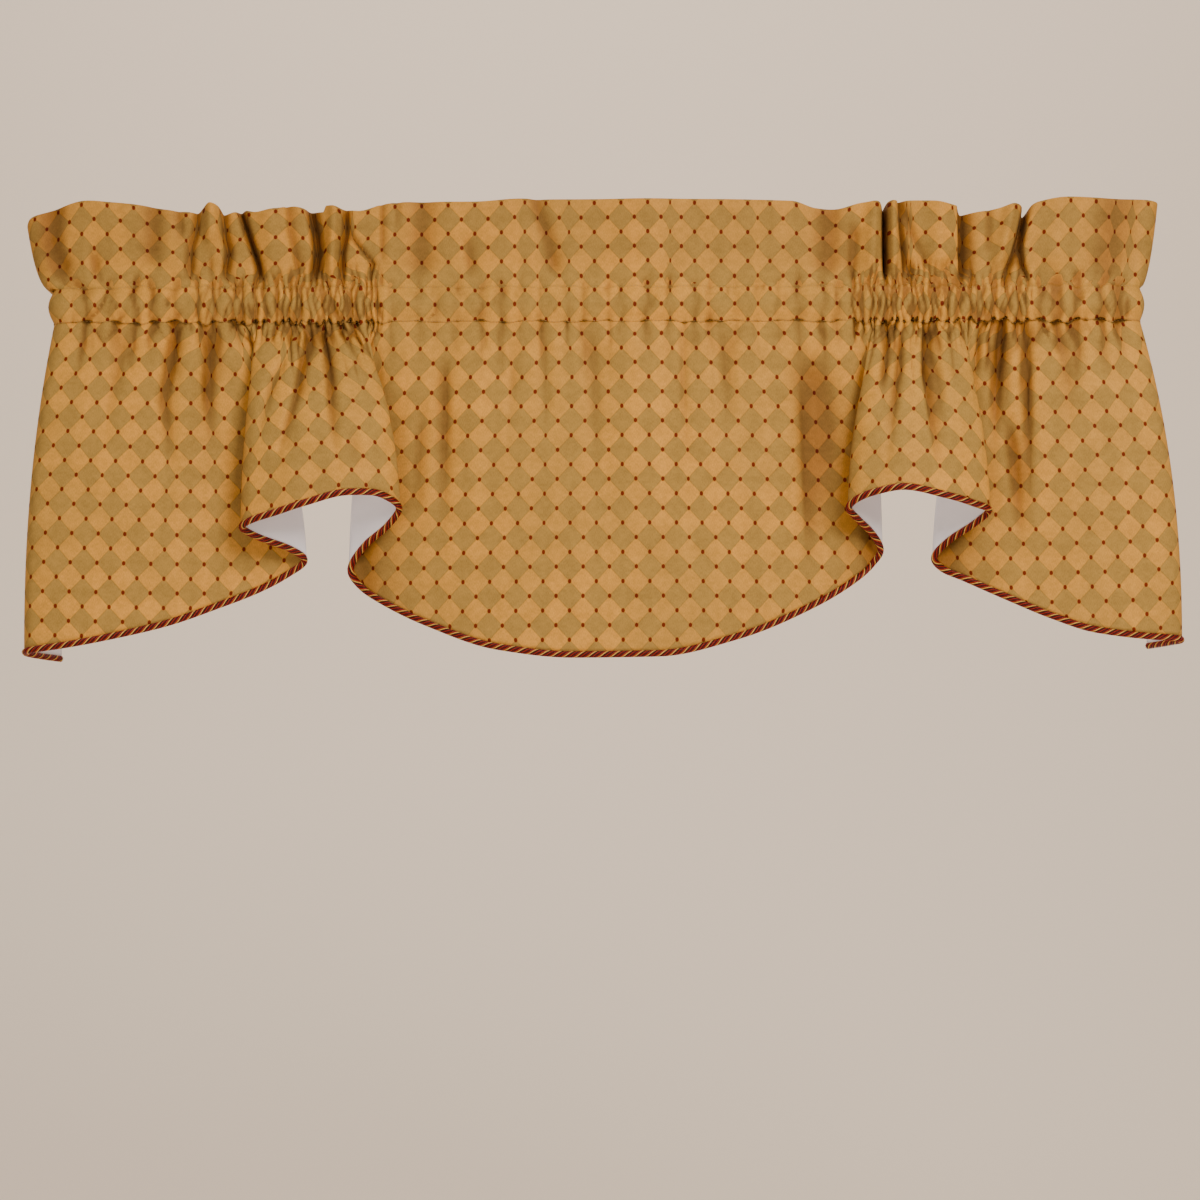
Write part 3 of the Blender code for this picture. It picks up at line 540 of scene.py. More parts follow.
# The smooth hang on a fine grid as the camera sees it, to find the cloth's place behind a picture point
seek = {"across": 1500, "down": 120, "turnedAway": 1.0}  # grid, and square metres added out of sight
seekS = np.linspace(0, clothWidth, seek["across"])
seekT = np.linspace(0, 1, seek["down"])
seekGrid = smoothHang(seekS, seekT)
seekFront = np.any([(seekS >= clothAt[a]) & (seekS <= clothAt[b]) for a, b in frontSpans], axis=0)
eyeX, eyeY, eyeZ = camera["eye"]
seekScale = -eyeY / (seekGrid[1] - eyeY)
seenX = eyeX + (seekGrid[0] - eyeX) * seekScale
seenZ = eyeZ + (seekGrid[2] - eyeZ) * seekScale


def placeOfSeen(x, z):
    # the cloth's place (s, t) that the camera sees at (x, z) on the pocket's plane: the nearest point of
    # the cloth's front, scaled about the eye by -eyeY / (y - eyeY)
    cost = (seenX - x) ** 2 + (seenZ - z) ** 2 + (~seekFront[:, None]) * seek["turnedAway"]
    i, j = np.unravel_index(np.argmin(cost), cost.shape)
    return seekS[i], seekT[j]


# The drop and its lining
dropSettings = {
    "marks": (0, 2, 5, 9, 25, 32, 49, 52, 55, 56),  # stations where the grid's pitch changes
    "fine": 0.0022, "corner": 0.00286, "wide": 0.0042,  # its pitches
    "pitches": ("wide", "corner", "wide", "fine", "wide", "fine", "wide", "corner", "wide"),
    "rows": 74, "rowPower": 1.25,  # rows lie closer near the seam
    "front": 0.0009, "back": 0.00035,  # the cloth's two faces, off its middle surface
    "foldDepth": 0.0014,  # push in metres for one millimetre in the table of folds
    "foldWidth": 0.6,  # half of the step in the pattern at a fold, over its two widths together
    "atSeam": 0.04, "seamFade": (-0.05, 0.10),  # a fold that starts this high comes out of the seam
    "fadeIn": (0.06, 0.12), "fadeOut": (0.35, 0.18),  # shares of the height before and after a fold's ends
    "pleatDrop": 0.20, "pleatFade": (0.2, 1.5),  # height that a pleat's reach is a share of, and its fade
    "fineWidth": 0.0026, "broadWeight": 0.03,  # pleats wider than this hide next to no cloth
    "stepWidth": 1.2,  # half of the step in the pattern at a pleat, over its width
    "stepsTo": (0.02, 0.16),  # where the pleats' steps give way to the folds' down the cloth
    "wanderLoss": 0.6, "wanderTo": 0.2,  # how much less the pleats wander below the seam, and from where
    "seamTo": 0.09,  # where the seam's unevenness ends
    "hemTuck": 0.0028,  # how far the last row ends above the cord's middle line
}
# Painted shade, kept in each vertex's fold attribute and laid over the cloth's colour as darker tints
shading = {
    "fold": (0.0070, 1.6), "pleat": (0.0031, 1.1),  # painted shade in folds and pleats: push that counts as one, and the most it may reach
    "behindFrom": 0.003, "behindOver": 0.026,  # cloth that stands this far back gets painted shade, as if in the horns' shade
    "behindLeast": 0.2, "behindSpan": (-0.32, -0.24),  # and least on the left, where the light comes in
    "inPocket": 0.3, "frill": 0.30, "frillRise": 0.35,  # the pocket's share of the folds' painted shade, and painted shade over the frill, full from this level up
}
liningSettings = {
    "gap": 0.0013, "half": 0.0002,  # behind the drop's middle surface, and half its own thickness
    "reach": (4, 3), "firstRow": 4, "rowStep": 2,  # columns and rows that it is smoothed over, and its rows
    "weave": 900.0, "weaveHeight": 0.0001, "bump": 0.6,  # 1.1 mm, coarser than real threads so that it shows
    "patches": 30.0, "codes": ("EFEBF2", "F6F3F7"), "roughness": 0.85, "specular": 0.2,
}


def foldSpan(t, start, end):
    # how strong a fold is down the cloth: one soft step in at its start, times one soft step out
    before, after = dropSettings["fadeIn"]
    held, past = dropSettings["fadeOut"]
    rise = softStep(t, start - before, start + after)
    if start < dropSettings["atSeam"]:
        rise = softStep(t, *dropSettings["seamFade"])
    return rise * (1 - softStep(t, start + held * (end - start), end + past))


def hang(s, t):
    # The middle surface of the drop with its pattern coordinates, painted shade and lining. Folds and
    # pleats push the smooth hang along the row's plan normal. u is the row's length plus the cloth that
    # folds hide, so the pattern keeps its scale where it shows. v is the length down the cloth.
    x, y, z = smoothHang(s, t)
    fallLengths = np.sqrt(np.diff(x, axis=1) ** 2 + np.diff(y, axis=1) ** 2 + np.diff(z, axis=1) ** 2)
    v = -np.concatenate([np.zeros((len(s), 1)), np.cumsum(fallLengths, axis=1)], axis=1)
    length = rowLengths(x, y)
    number = np.arange(len(s), dtype=float)
    zones = np.interp(zoneEnds, np.arange(len(clothAt)), clothAt)
    zoneOf = np.clip(np.searchsorted(zones, s, side="right") - 1, 0, len(zones) - 2)
    zoneLength = np.stack([along(length, np.full(len(t), c)) for c in np.interp(zones, s, number)])
    zoneTaken = np.diff(zones)[:, None] - np.diff(zoneLength, axis=0)

    def zoneAt(place):
        # number of the zone that holds a place on the cloth
        return int(np.clip(np.searchsorted(zones, place) - 1, 0, len(zones) - 2))

    push = np.zeros_like(x)
    foldSteps = np.zeros_like(x)
    total = np.zeros(len(zones) - 1)
    for name, depth, left, right, hides, line in dropFolds:
        places = np.array([placeOfSeen(px / 1000, pz / 1000) for px, pz in line])
        places[:, 1] = np.maximum.accumulate(places[:, 1])
        lineS = np.interp(t, places[:, 1], places[:, 0])
        distance = 1000 * (length - along(length, np.interp(lineS, s, number))[None, :])
        strength = foldSpan(t, places[0, 1], places[-1, 1])
        push -= dropSettings["foldDepth"] * depth * strength[None, :] * dent(distance, left, right)
        zone = zoneAt(places[0, 0])
        half = dropSettings["foldWidth"] * (left + right)
        foldSteps += (zoneOf == zone)[:, None] * hides * softStep(distance, -half, half)
        total[zone] += hides

    seamX = through(clothAt, stations["topX"], s)
    loss = dropSettings["wanderLoss"] * softStep(t, 0.0, dropSettings["wanderTo"])
    strayed = seamX[:, None] + wander(seamX[:, None], z) * (1 - loss)[None, :]
    wave, up, down = pleatWave(strayed)
    reach = down / dropSettings["pleatDrop"]
    held, gone = dropSettings["pleatFade"]
    fade = 1 - softStep(t[None, :], held * reach, gone * reach)
    wrinkle = wave * fade + creaseWave(seamX[:, None], z)

    # painted shade: darker with the depth of folds and pleats, and where the cloth stands back by the horns
    foldFull, foldMost = shading["fold"]
    pleatFull, pleatMost = shading["pleat"]
    shade = np.clip(-push / foldFull, 0.0, foldMost) + np.clip(wrinkle / pleatFull, 0.0, pleatMost)
    least = shading["behindLeast"]
    shadeBehind = np.clip((y - shading["behindFrom"]) / shading["behindOver"], 0.0, 1.0)
    shade = np.maximum(shade, shadeBehind * (least + (1 - least) * softStep(x, *shading["behindSpan"])))

    deepest = np.max(neighbours(wrinkle, *liningSettings["reach"]), axis=0)
    backPush = push - np.mean(neighbours(deepest, *liningSettings["reach"]), axis=0) - liningSettings["gap"]
    push = push - wrinkle

    for first, last, hides in hiddenStretches:
        low, high = np.interp([first, last], np.arange(len(clothAt)), clothAt)
        zone = zoneAt(0.5 * (low + high))
        foldSteps += ((zoneOf == zone) * hides * softStep(s, low, high))[:, None]
        total[zone] += hides
    even = (s - zones[zoneOf]) / np.diff(zones)[zoneOf]
    plain = (total == 0)[zoneOf]
    spread = np.where(plain[:, None], even[:, None], foldSteps / np.maximum(total, 1e-6)[zoneOf][:, None])

    narrow = pleats["width"] < dropSettings["fineWidth"]
    weights = pleats["depth"] * np.where(narrow, 1.0, dropSettings["broadWeight"])
    half = dropSettings["stepWidth"] * pleats["width"]
    stair = np.sum(softStep(seamX[:, None] - pleats["at"], -half, half) * weights, axis=1)
    pleatSteps = even.copy()
    for zone in range(len(zones) - 1):
        inside = zoneOf == zone
        low = stair[inside].min()
        high = stair[inside].max()
        if high - low > 1e-4:
            pleatSteps[inside] = (stair[inside] - low) / (high - low)
    mix = softStep(t, *dropSettings["stepsTo"])[None, :]
    u = zones[zoneOf][:, None] + length - zoneLength[zoneOf]
    u = u + zoneTaken[zoneOf] * (mix * spread + (1 - mix) * pleatSteps[:, None])

    acrossX = np.gradient(x, s, axis=0)
    acrossY = np.gradient(y, s, axis=0)
    size = np.maximum(np.hypot(acrossX, acrossY), 1e-6)
    backPoints = np.stack([x + backPush * acrossY / size, y - backPush * acrossX / size, z], axis=-1)
    x = x + push * acrossY / size
    y = y - push * acrossX / size
    z = z + seamShift(seamX)[:, None] * (1 - softStep(t, 0.0, dropSettings["seamTo"]))[None, :]
    return np.stack([x, y, z], axis=-1), u, v, shade, backPoints


def rodPath(q):
    # Points and outward directions along the rod. Past each end of the front it turns a quarter circle,
    # point = end + radius*(sin a, 1 - cos a), and then runs straight back.
    radius = pocket["corner"]
    points = np.column_stack([q, np.zeros_like(q)])
    outward = np.tile([0.0, -1.0], (len(q), 1))
    for side, end in ((-1, pocket["left"] + radius), (1, pocket["right"] - radius)):
        past = side * (q - end)
        turned = past > 0
        angle = np.clip(past / radius, 0, math.pi / 2)
        back = np.maximum(past - radius * math.pi / 2, 0.0)
        points[turned, 0] = (end + side * radius * np.sin(angle))[turned]
        points[turned, 1] = (radius * (1 - np.cos(angle)) + back)[turned]
        outward[turned, 0] = (side * np.sin(angle))[turned]
        outward[turned, 1] = -np.cos(angle)[turned]
    return points, outward


# The heading: one strip folded over at the top, its two layers a hair apart
headingSettings = {
    "fine": 0.00095, "wide": 0.0034, "corner": 0.0026, "return": 0.006,  # grid pitches along the rod
    "marks": (-0.3900, -0.2050, 0.2300, 0.4150), "beside": 0.02,  # gathered stretches, and corners' reach
    "pocketRows": 15, "frillRows": 20,
    "outer": 0.00065, "inner": 0.0001,  # the cloth's two faces, off the layer's skin
    "crestDrop": 0.0007,  # room for the fold at the top edge
    "bulgePower": 1.1, "puff": 0.16, "thinnest": 0.0012,  # the pocket's roundness, puffs and least depth
    "sag": 0.7, "sagMost": 0.0030,  # how much of the frill's folds runs on into the pocket
    "pinch": 0.25, "bothSides": 0.7,  # pleats are flatter on the rod, and above it push both layers back
    "stiff": 0.15, "loose": 1.15,  # shares of a fold's depth at the pocket and above it
    "stepSpans": ((-0.405, -0.200), (0.232, 0.410)),  # where the frill's folds hide cloth, along the rod
    "stepDepth": 4.5, "stepWidth": 0.0006, "stepRise": (1.0, 1.28),  # for folds deeper than this, in mm
    "flat": (0.032, 0.083, 0.116, 0.0005),  # pocket, frill, crest and the fold at it, flat in metres
}


def headingColumns():
    # places along the rod, fine where the pocket is gathered
    arc = pocket["corner"] * math.pi / 2
    reach = pocket["returnDepth"] - pocket["corner"] + arc
    left = pocket["left"] + pocket["corner"]
    right = pocket["right"] - pocket["corner"]
    beside = headingSettings["beside"]
    marks = [left - reach, left - arc, left + beside, *headingSettings["marks"],
             right - beside, right + arc, right + reach]
    names = ("return", "corner", "wide", "fine", "wide", "fine", "wide", "corner", "return")
    return evenPlaces(marks, [headingSettings[name] for name in names])


def headingSkin(q, side):
    # One layer of the heading's cloth, on a grid from the pocket's lower seam to the top edge: rod path
    # + outward * (folds + side * bulge), where bulge = halfDepth * puffs * sin(pi * share)^1.1. Share
    # rises from 0 to 1 up the pocket, and level from 0 to 1 up the frill.
    points, outward = rodPath(q)
    crest = through(frillTop["x"], frillTop["z"], q)
    shares = 0.5 - 0.5 * np.cos(np.pi * np.linspace(0, 1, headingSettings["pocketRows"]))
    levels = np.linspace(0, 1, headingSettings["frillRows"] + 1)[1:]
    share = np.concatenate([shares, np.ones(len(levels))])[None, :]
    level = np.concatenate([np.zeros(len(shares)), levels])[None, :]
    height = pocket["top"] - pocket["bottom"]
    rise = crest[:, None] - headingSettings["crestDrop"] - pocket["top"]
    z = pocket["bottom"] + height * share + rise * level
    shift = seamShift(q)[:, None]
    upper = np.where(level > 0, np.maximum(1 - 4 * level, 0.0), share ** 3)
    z = z + shift * (1 - share) ** 2 - shift * upper

    folds = np.zeros_like(z)
    for name, depth, left, right, line in frillFolds:
        path = np.array(line)[::-1] / 1000
        at = np.interp(z, path[:, 1], path[:, 0])
        foot = path[0, 1]
        head = path[-1, 1]
        rise = softStep(z, foot - 0.010, foot + 0.012)
        fall = 1 - softStep(z, head - 0.006, head + 0.012) * (head < -0.012)
        folds -= 0.001 * depth * rise * fall * dent(1000 * (q[:, None] - at), left, right)
    stiff = headingSettings["stiff"] * (share > 0.5)
    hold = softStep(level, 0.0, 0.30) * headingSettings["loose"] + stiff

    wave, up, down = pleatWave(q[:, None] + wander(q[:, None], z))
    above = np.maximum(z - pocket["top"], 0.0)
    fade = 1 - softStep(above, 0.15 * up, 1.4 * up)
    pinch = 1 - headingSettings["pinch"] * np.sin(np.pi * share) * (level == 0)
    wrinkle = -wave * fade * pinch - creaseWave(q[:, None], z)

    arch = np.sin(np.pi * share)
    puffs = 1 + headingSettings["puff"] * np.sin(240 * q + 2.0 * np.sin(55 * q))[:, None]
    bulge = pocket["halfDepth"] * puffs * arch ** headingSettings["bulgePower"] * (level == 0)
    sag = np.maximum(headingSettings["sag"] * folds, -headingSettings["sagMost"]) * arch * (level == 0)
    thinnest = headingSettings["thinnest"]
    puffed = bulge + wrinkle + sag
    puffed = np.where(puffed > thinnest, puffed, thinnest * np.exp(np.minimum(puffed / thinnest - 1, 0.0)))
    puffed = np.where(share > 0, puffed, bulge + wrinkle)
    inPocket = (level == 0) & (share < 1)
    both = headingSettings["bothSides"]
    push = np.where(inPocket, side * puffed, folds * hold + wrinkle * side * (1 - both) + wrinkle * both)

    leftEnd = pocket["left"] + pocket["corner"]
    rightEnd = pocket["right"] - pocket["corner"]
    tilt = softStep(q, rightEnd - lean["reach"], rightEnd) * lean["right"]
    tilt = tilt - (1 - softStep(q, leftEnd, leftEnd + lean["reach"])) * lean["left"]
    foot = np.clip(tilt / lean["full"], -1, 1)[:, None] * lean["foot"]
    power = np.where(q < 0, *lean["power"])[:, None]
    x = points[:, :1] + outward[:, :1] * push + tilt[:, None] * level ** power + foot * (1 - level)
    y = points[:, 1:] + outward[:, 1:] * push
    skin = np.stack([x, y, z], axis=-1)
    across = np.gradient(skin, axis=0)
    upward = np.gradient(skin, axis=1)

    # painted shade: darker with the depth of folds and pleats, less of the folds' shade in the pocket
    foldFull, foldMost = shading["fold"]
    pleatFull, pleatMost = shading["pleat"]
    shade = np.clip(-folds * hold / foldFull, 0.0, foldMost) * (1 - (1 - shading["inPocket"]) * inPocket)
    shade = shade + np.clip(-wrinkle / pleatFull, 0.0, pleatMost)
    # and painted shade over the frill, growing from its foot up to a third of its height
    shade = shade + shading["frill"] * softStep(level, 0.0, shading["frillRise"])
    flare = skin[..., 0] - points[:, :1] - outward[:, :1] * push
    return skin, side * unit(np.cross(across, upward)), share + level, shade, flare


def addMesh(name, points, faces, material, uv=None, shade=None):
    # A mesh from points and faces. uv holds a row for each vertex, or for each corner of each face. Shade
    # is each vertex's painted shade, mostly from how deep it lies in a fold, kept as the attribute fold.
    mesh = bpy.data.meshes.new(name)
    mesh.from_pydata(points.tolist(), [], faces)
    layer = mesh.uv_layers.new(name="cloth")
    if uv is not None:
        corners = np.empty(len(mesh.loops), dtype=np.int32)
        mesh.loops.foreach_get("vertex_index", corners)
        cornerUv = uv[corners] if len(uv) == len(points) else uv
        layer.data.foreach_set("uv", cornerUv.astype(np.float32).ravel())
    if shade is not None:
        mesh.attributes.new("fold", "FLOAT", "POINT").data.foreach_set("value", shade.astype(np.float32))
    mesh.materials.append(material)
    mesh.shade_smooth()
    made = bpy.data.objects.new(name, mesh)
    scene.collection.objects.link(made)
    return made


def addSheet(name, grid, front, back, u, v, material, shade=None):
    # a thin closed sheet between grid + front*normal and grid + back*normal, with strips round it
    normals = gridNormals(grid)
    points = np.concatenate([(grid + off * normals).reshape(-1, 3) for off in (front, back)])
    columns, rows = grid.shape[:2]
    layer = columns * rows
    corner = np.arange(layer).reshape(columns, rows)
    quads = [corner[:-1, :-1], corner[:-1, 1:], corner[1:, 1:], corner[1:, :-1]]
    face = np.stack(quads, axis=-1).reshape(-1, 4)
    rim = np.concatenate([corner[0, :], corner[1:, -1], corner[-1, -2::-1], corner[-2::-1, 0]])
    following = np.roll(rim, -1)[:-1]
    rim = rim[:-1]
    strips = np.stack([following, rim, rim + layer, following + layer], axis=-1)
    faces = np.concatenate([face, face[:, ::-1] + layer, strips]).tolist()
    uv = np.tile(np.stack([u, v], axis=-1).reshape(-1, 2), (2, 1))
    shade = None if shade is None else np.tile(shade.ravel(), 2)
    return addMesh(name, points, faces, material, uv, shade)


def loopFaces(count, around, start):
    # quads between neighbouring rings of points, each ring closed on itself
    corner = np.arange(count * around).reshape(count, around) + start
    beside = np.roll(corner, -1, axis=1)
    return np.stack([corner[:-1], corner[1:], beside[1:], beside[:-1]], axis=-1).reshape(-1, 4)


def colour(code):
    # a colour from its sRGB hex code, made linear: ((c + 0.055) / 1.055)^2.4, or c / 12.92 if dark
    parts = [int(code[i:i + 2], 16) / 255 for i in (0, 2, 4)]
    linear = [c / 12.92 if c <= 0.04045 else ((c + 0.055) / 1.055) ** 2.4 for c in parts]
    return (*linear, 1.0)


def addNode(tree, kind, *values, **named):
    # Adds a shader node and gives back its first open output. Values are sockets or constants for its
    # open inputs in turn. A lower-case name is one of its settings, and any other is an input.
    node = tree.nodes.new("ShaderNode" + kind)
    for name in [name for name in named if name.islower()]:
        setattr(node, name, named.pop(name))
    links = list(zip([socket for socket in node.inputs if socket.enabled], values))
    links += [(node.inputs[name], value) for name, value in named.items()]
    for socket, value in links:
        if isinstance(value, bpy.types.NodeSocket):
            tree.links.new(value, socket)
        else:
            socket.default_value = value
    return next((socket for socket in node.outputs if socket.enabled), None)


def newMaterial(name):
    # an empty material, its node tree and the cloth's own UV map
    made = bpy.data.materials.new(name)
    made.use_nodes = True
    made.node_tree.nodes.clear()
    return made, made.node_tree, addNode(made.node_tree, "UVMap", uv_map="cloth")


smooth = {"interpolation_type": "SMOOTHSTEP"}  # for a range that eases in and out


# Woven jacquard: satin diamonds against a matter ground, with dots where the diamonds meet
pattern = {
    "pitch": (0.02533, 0.02760), "shift": (0.0, 0.0),  # a diamond's width and height, and where one sits
    "dot": (0.00165, 0.0022), "dotEdge": (0.82, 1.12),  # half width and height, and its soft edge
    "halo": "B87434", "haloEdge": (1.0, 1.5), "haloShare": 0.35,
    "light": "DA9A40", "olive": "AD8542", "dotInk": "74260A",
    "satin": (0.6, 1.0), "satinEdge": 0.015,  # the satin's strength, least and most, and its soft edge
    "line": "8A6428", "lineEdge": (0.012, 0.04), "lineShare": 0.34,
    "deep": "A48F94", "foldShadeShare": 0.72,  # painted shade of cloth that lies in a fold
    "dark": "8A7076", "deepShadeFrom": (0.9, 1.8), "deepShadeShare": 0.6,  # and darker painted shade in the deepest folds
    "broad": 9.0, "patches": 45.0, "grain": 170.0,  # unevenness, in cells to a metre
    # yarns 0.67 mm apart in slubs 2.4 mm long, about twice as coarse as real ones so that they show
    "threads": (1500.0, 420.0, 1.0), "slubs": (0.86, 1.10), "uneven": 0.06,
    "roughness": (0.78, 0.55), "specular": 0.08,  # the ground's and the satin's
    "sheen": 0.03, "sheenRoughness": 0.45, "sheenTint": "E8C890",
    "slubHeight": 0.00022, "dotHeight": 0.00018, "satinHeight": 0.00006, "bump": 0.8,
}


def jacquard():
    # Woven cotton jacquard. A diamond lies where |u'| + |v'| < 1/2, in units of the pitch folded about
    # whole numbers. Its satin is lighter and smoother than the ground, so it catches more of the light.
    made, tree, uv = newMaterial("woven_jacquard")
    widePitch, tallPitch = pattern["pitch"]
    parts = addNode(tree, "SeparateXYZ", uv).node.outputs
    folded = []
    for part, shift, pitch in ((parts["X"], pattern["shift"][0], widePitch),
                               (parts["Y"], pattern["shift"][1], tallPitch)):
        moved = addNode(tree, "Math", part, shift, operation="SUBTRACT")
        cells = addNode(tree, "Math", moved, pitch, operation="DIVIDE")
        folded.append(addNode(tree, "Math", cells, 0.5, operation="PINGPONG"))
    a, b = folded
    both = addNode(tree, "Math", a, b, operation="ADD")
    satinEdge = pattern["satinEdge"]
    light = addNode(tree, "MapRange", both, 0.5 - satinEdge, 0.5 + satinEdge, 1.0, 0.0, **smooth)
    broad = addNode(tree, "TexNoise", uv, Scale=pattern["broad"], Detail=2.0)
    strong = addNode(tree, "MapRange", broad, 0.35, 0.65, *pattern["satin"], **smooth)
    satin = addNode(tree, "Math", light, strong, operation="MULTIPLY")
    off = addNode(tree, "Math", both, 0.5, operation="SUBTRACT")
    off = addNode(tree, "Math", off, operation="ABSOLUTE")
    edge = addNode(tree, "MapRange", off, *pattern["lineEdge"], pattern["lineShare"], 0.0, **smooth)

    # distance from the nearest dot's middle, sqrt(wide^2 + tall^2) in units of its half sizes
    flipped = [addNode(tree, "Math", 0.5, part, operation="SUBTRACT") for part in folded]
    spots = []
    for first, second in ((flipped[0], b), (a, flipped[1])):
        wide = addNode(tree, "Math", first, widePitch / pattern["dot"][0], operation="MULTIPLY")
        tall = addNode(tree, "Math", second, tallPitch / pattern["dot"][1], operation="MULTIPLY")
        wide = addNode(tree, "Math", wide, wide, operation="MULTIPLY")
        tall = addNode(tree, "Math", tall, tall, operation="MULTIPLY")
        total = addNode(tree, "Math", wide, tall, operation="ADD")
        spots.append(addNode(tree, "Math", total, operation="SQRT"))
    near = addNode(tree, "Math", *spots, operation="MINIMUM")
    dot = addNode(tree, "MapRange", near, *pattern["dotEdge"], 1.0, 0.0, **smooth)
    halo = addNode(tree, "MapRange", near, *pattern["haloEdge"], pattern["haloShare"], 0.0, **smooth)

    # painted shade from each vertex's fold attribute: darker in folds, by the horns and up the frill
    fold = addNode(tree, "Attribute", attribute_name="fold").node.outputs["Fac"]
    deep = addNode(tree, "MapRange", fold, 0.0, 1.0, 0.0, pattern["foldShadeShare"], **smooth)
    dark = addNode(tree, "MapRange", fold, *pattern["deepShadeFrom"], 0.0, pattern["deepShadeShare"], **smooth)
    ground = colour(pattern["olive"])
    layers = ((satin, "light", "MIX"), (edge, "line", "MIX"), (halo, "halo", "MIX"), (dot, "dotInk", "MIX"),
              (deep, "deep", "MULTIPLY"), (dark, "dark", "MULTIPLY"))
    for share, name, mode in layers:
        tint = colour(pattern[name])
        ground = addNode(tree, "Mix", share, ground, tint, data_type="RGBA", blend_type=mode)

    # slubs run along the weft, and broader noise makes the dye uneven
    threads = addNode(tree, "Mapping", uv, Scale=pattern["threads"])
    slubs = addNode(tree, "TexNoise", threads, Scale=1.0, Detail=2.0)
    tone = addNode(tree, "MapRange", slubs, 0.25, 0.75, *pattern["slubs"], **smooth)
    uneven = pattern["uneven"]
    for scale, detail in (("patches", 3.0), ("grain", 2.0)):
        noise = addNode(tree, "TexNoise", uv, Scale=pattern[scale], Detail=detail)
        change = addNode(tree, "MapRange", noise, 0.3, 0.7, -uneven, uneven, **smooth)
        tone = addNode(tree, "Math", tone, change, operation="ADD")
    raised = addNode(tree, "Math", slubs, pattern["slubHeight"], operation="MULTIPLY")
    for part, height in ((dot, "dotHeight"), (light, "satinHeight")):
        more = addNode(tree, "Math", part, pattern[height], operation="MULTIPLY")
        raised = addNode(tree, "Math", raised, more, operation="ADD")
    shader = addNode(tree, "BsdfPrincipled", **{
        "Base Color": addNode(tree, "VectorMath", ground, tone, operation="SCALE"),
        "Roughness": addNode(tree, "MapRange", light, 0.0, 1.0, *pattern["roughness"], **smooth),
        "Specular IOR Level": pattern["specular"],
        "Sheen Weight": pattern["sheen"],
        "Sheen Roughness": pattern["sheenRoughness"],
        "Sheen Tint": colour(pattern["sheenTint"]),
        "Normal": addNode(tree, "Bump", Height=raised, Distance=1.0, Strength=pattern["bump"]),
    })
    addNode(tree, "OutputMaterial", shader)
    return made


def poplin():
    # Polycotton lining, plain woven: matt, pale and faintly lilac, so the horns look clean and cool inside.
    made, tree, uv = newMaterial("polycotton_lining")
    weave = addNode(tree, "TexNoise", uv, Scale=liningSettings["weave"], Detail=1.0)
    patches = addNode(tree, "TexNoise", uv, Scale=liningSettings["patches"], Detail=2.0)
    first, second = (colour(code) for code in liningSettings["codes"])
    raised = addNode(tree, "Math", weave, liningSettings["weaveHeight"], operation="MULTIPLY")
    shader = addNode(tree, "BsdfPrincipled", **{
        "Base Color": addNode(tree, "Mix", patches, first, second, data_type="RGBA"),
        "Roughness": liningSettings["roughness"],
        "Specular IOR Level": liningSettings["specular"],
        "Normal": addNode(tree, "Bump", Height=raised, Distance=1.0, Strength=liningSettings["bump"]),
    })
    addNode(tree, "OutputMaterial", shader)
    return made


# The drop's grid. Its last rows are drawn up to the cord, which runs along its hem.
columns = evenPlaces(clothAt[list(dropSettings["marks"])],
                     [dropSettings[name] for name in dropSettings["pitches"]])
rows = np.linspace(0, 1, dropSettings["rows"]) ** dropSettings["rowPower"]
dropGrid, dropU, dropV, dropShade, liningGrid = hang(columns, rows)
cordLine = dropGrid[:, -1].copy()
alongHem = unit(np.gradient(cordLine, axis=0))
downwards = squareTo(unit(dropGrid[:, -1] - dropGrid[:, -4]), alongHem)
for grid in (dropGrid, liningGrid):
    grid[:, -1] -= dropSettings["hemTuck"] * downwards
    grid[:, -2] = 0.5 * (grid[:, -3] + grid[:, -1])
dropV[:, -1] += dropSettings["hemTuck"]
dropV[:, -2] = 0.5 * (dropV[:, -3] + dropV[:, -1])
print("drop", dropGrid.shape, "cloth width", round(clothWidth, 3))

# Light diamonds' centres as the camera sees them, one for each panel and horn from left to right. They
# set the pattern's phase there. A light diamond's centre has whole numbers of both pitches, or halves.
anchors = [(-0.4739, -0.2759), (-0.2901, -0.2183), (-0.0639, -0.1416), (0.2807, -0.1994), (0.4546, -0.2446)]
anchorEnds = (10, 23, 34, 46)  # stations between them
centrePanel = 2


def patternAt(x, z):
    # the drop's pattern coordinates where the camera sees (x, z) on the pocket's plane
    s, t = placeOfSeen(x, z)
    i = np.argmin(np.abs(columns - s))
    j = np.argmin(np.abs(rows - t))
    return dropU[i, j], dropV[i, j]


centreU, centreV = patternAt(*anchors[centrePanel])
pattern["shift"] = (float(centreU), float(centreV))
panelOf = np.searchsorted(np.interp(anchorEnds, np.arange(len(clothAt)), clothAt), columns)
for panel, (x, z) in enumerate(anchors):
    u, v = patternAt(x, z)
    rise = (v - centreV) / (0.5 * pattern["pitch"][1])
    cells = (u - centreU) / pattern["pitch"][0] - 0.5 * (round(rise) % 2)
    if panel != centrePanel:
        dropU[panelOf == panel] -= (cells - round(cells)) * pattern["pitch"][0]
        dropV[panelOf == panel] -= (rise - round(rise)) * 0.5 * pattern["pitch"][1]

cloth = jacquard()
drop = addSheet("valance_drop", dropGrid, dropSettings["front"], dropSettings["back"], dropU, dropV, cloth,
                dropShade)
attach(drop, "root")
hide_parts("drop")

half = liningSettings["half"]
thinRows = np.arange(liningSettings["firstRow"], len(rows), liningSettings["rowStep"])
thinRows = np.unique(np.concatenate([thinRows, [len(rows) - 1]]))
lining = addSheet("valance_lining", liningGrid[:, thinRows], half, -half, dropU[:, thinRows],
                  dropV[:, thinRows], poplin())
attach(lining, "root")
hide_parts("lining")
print("lining", len(columns), len(thinRows))

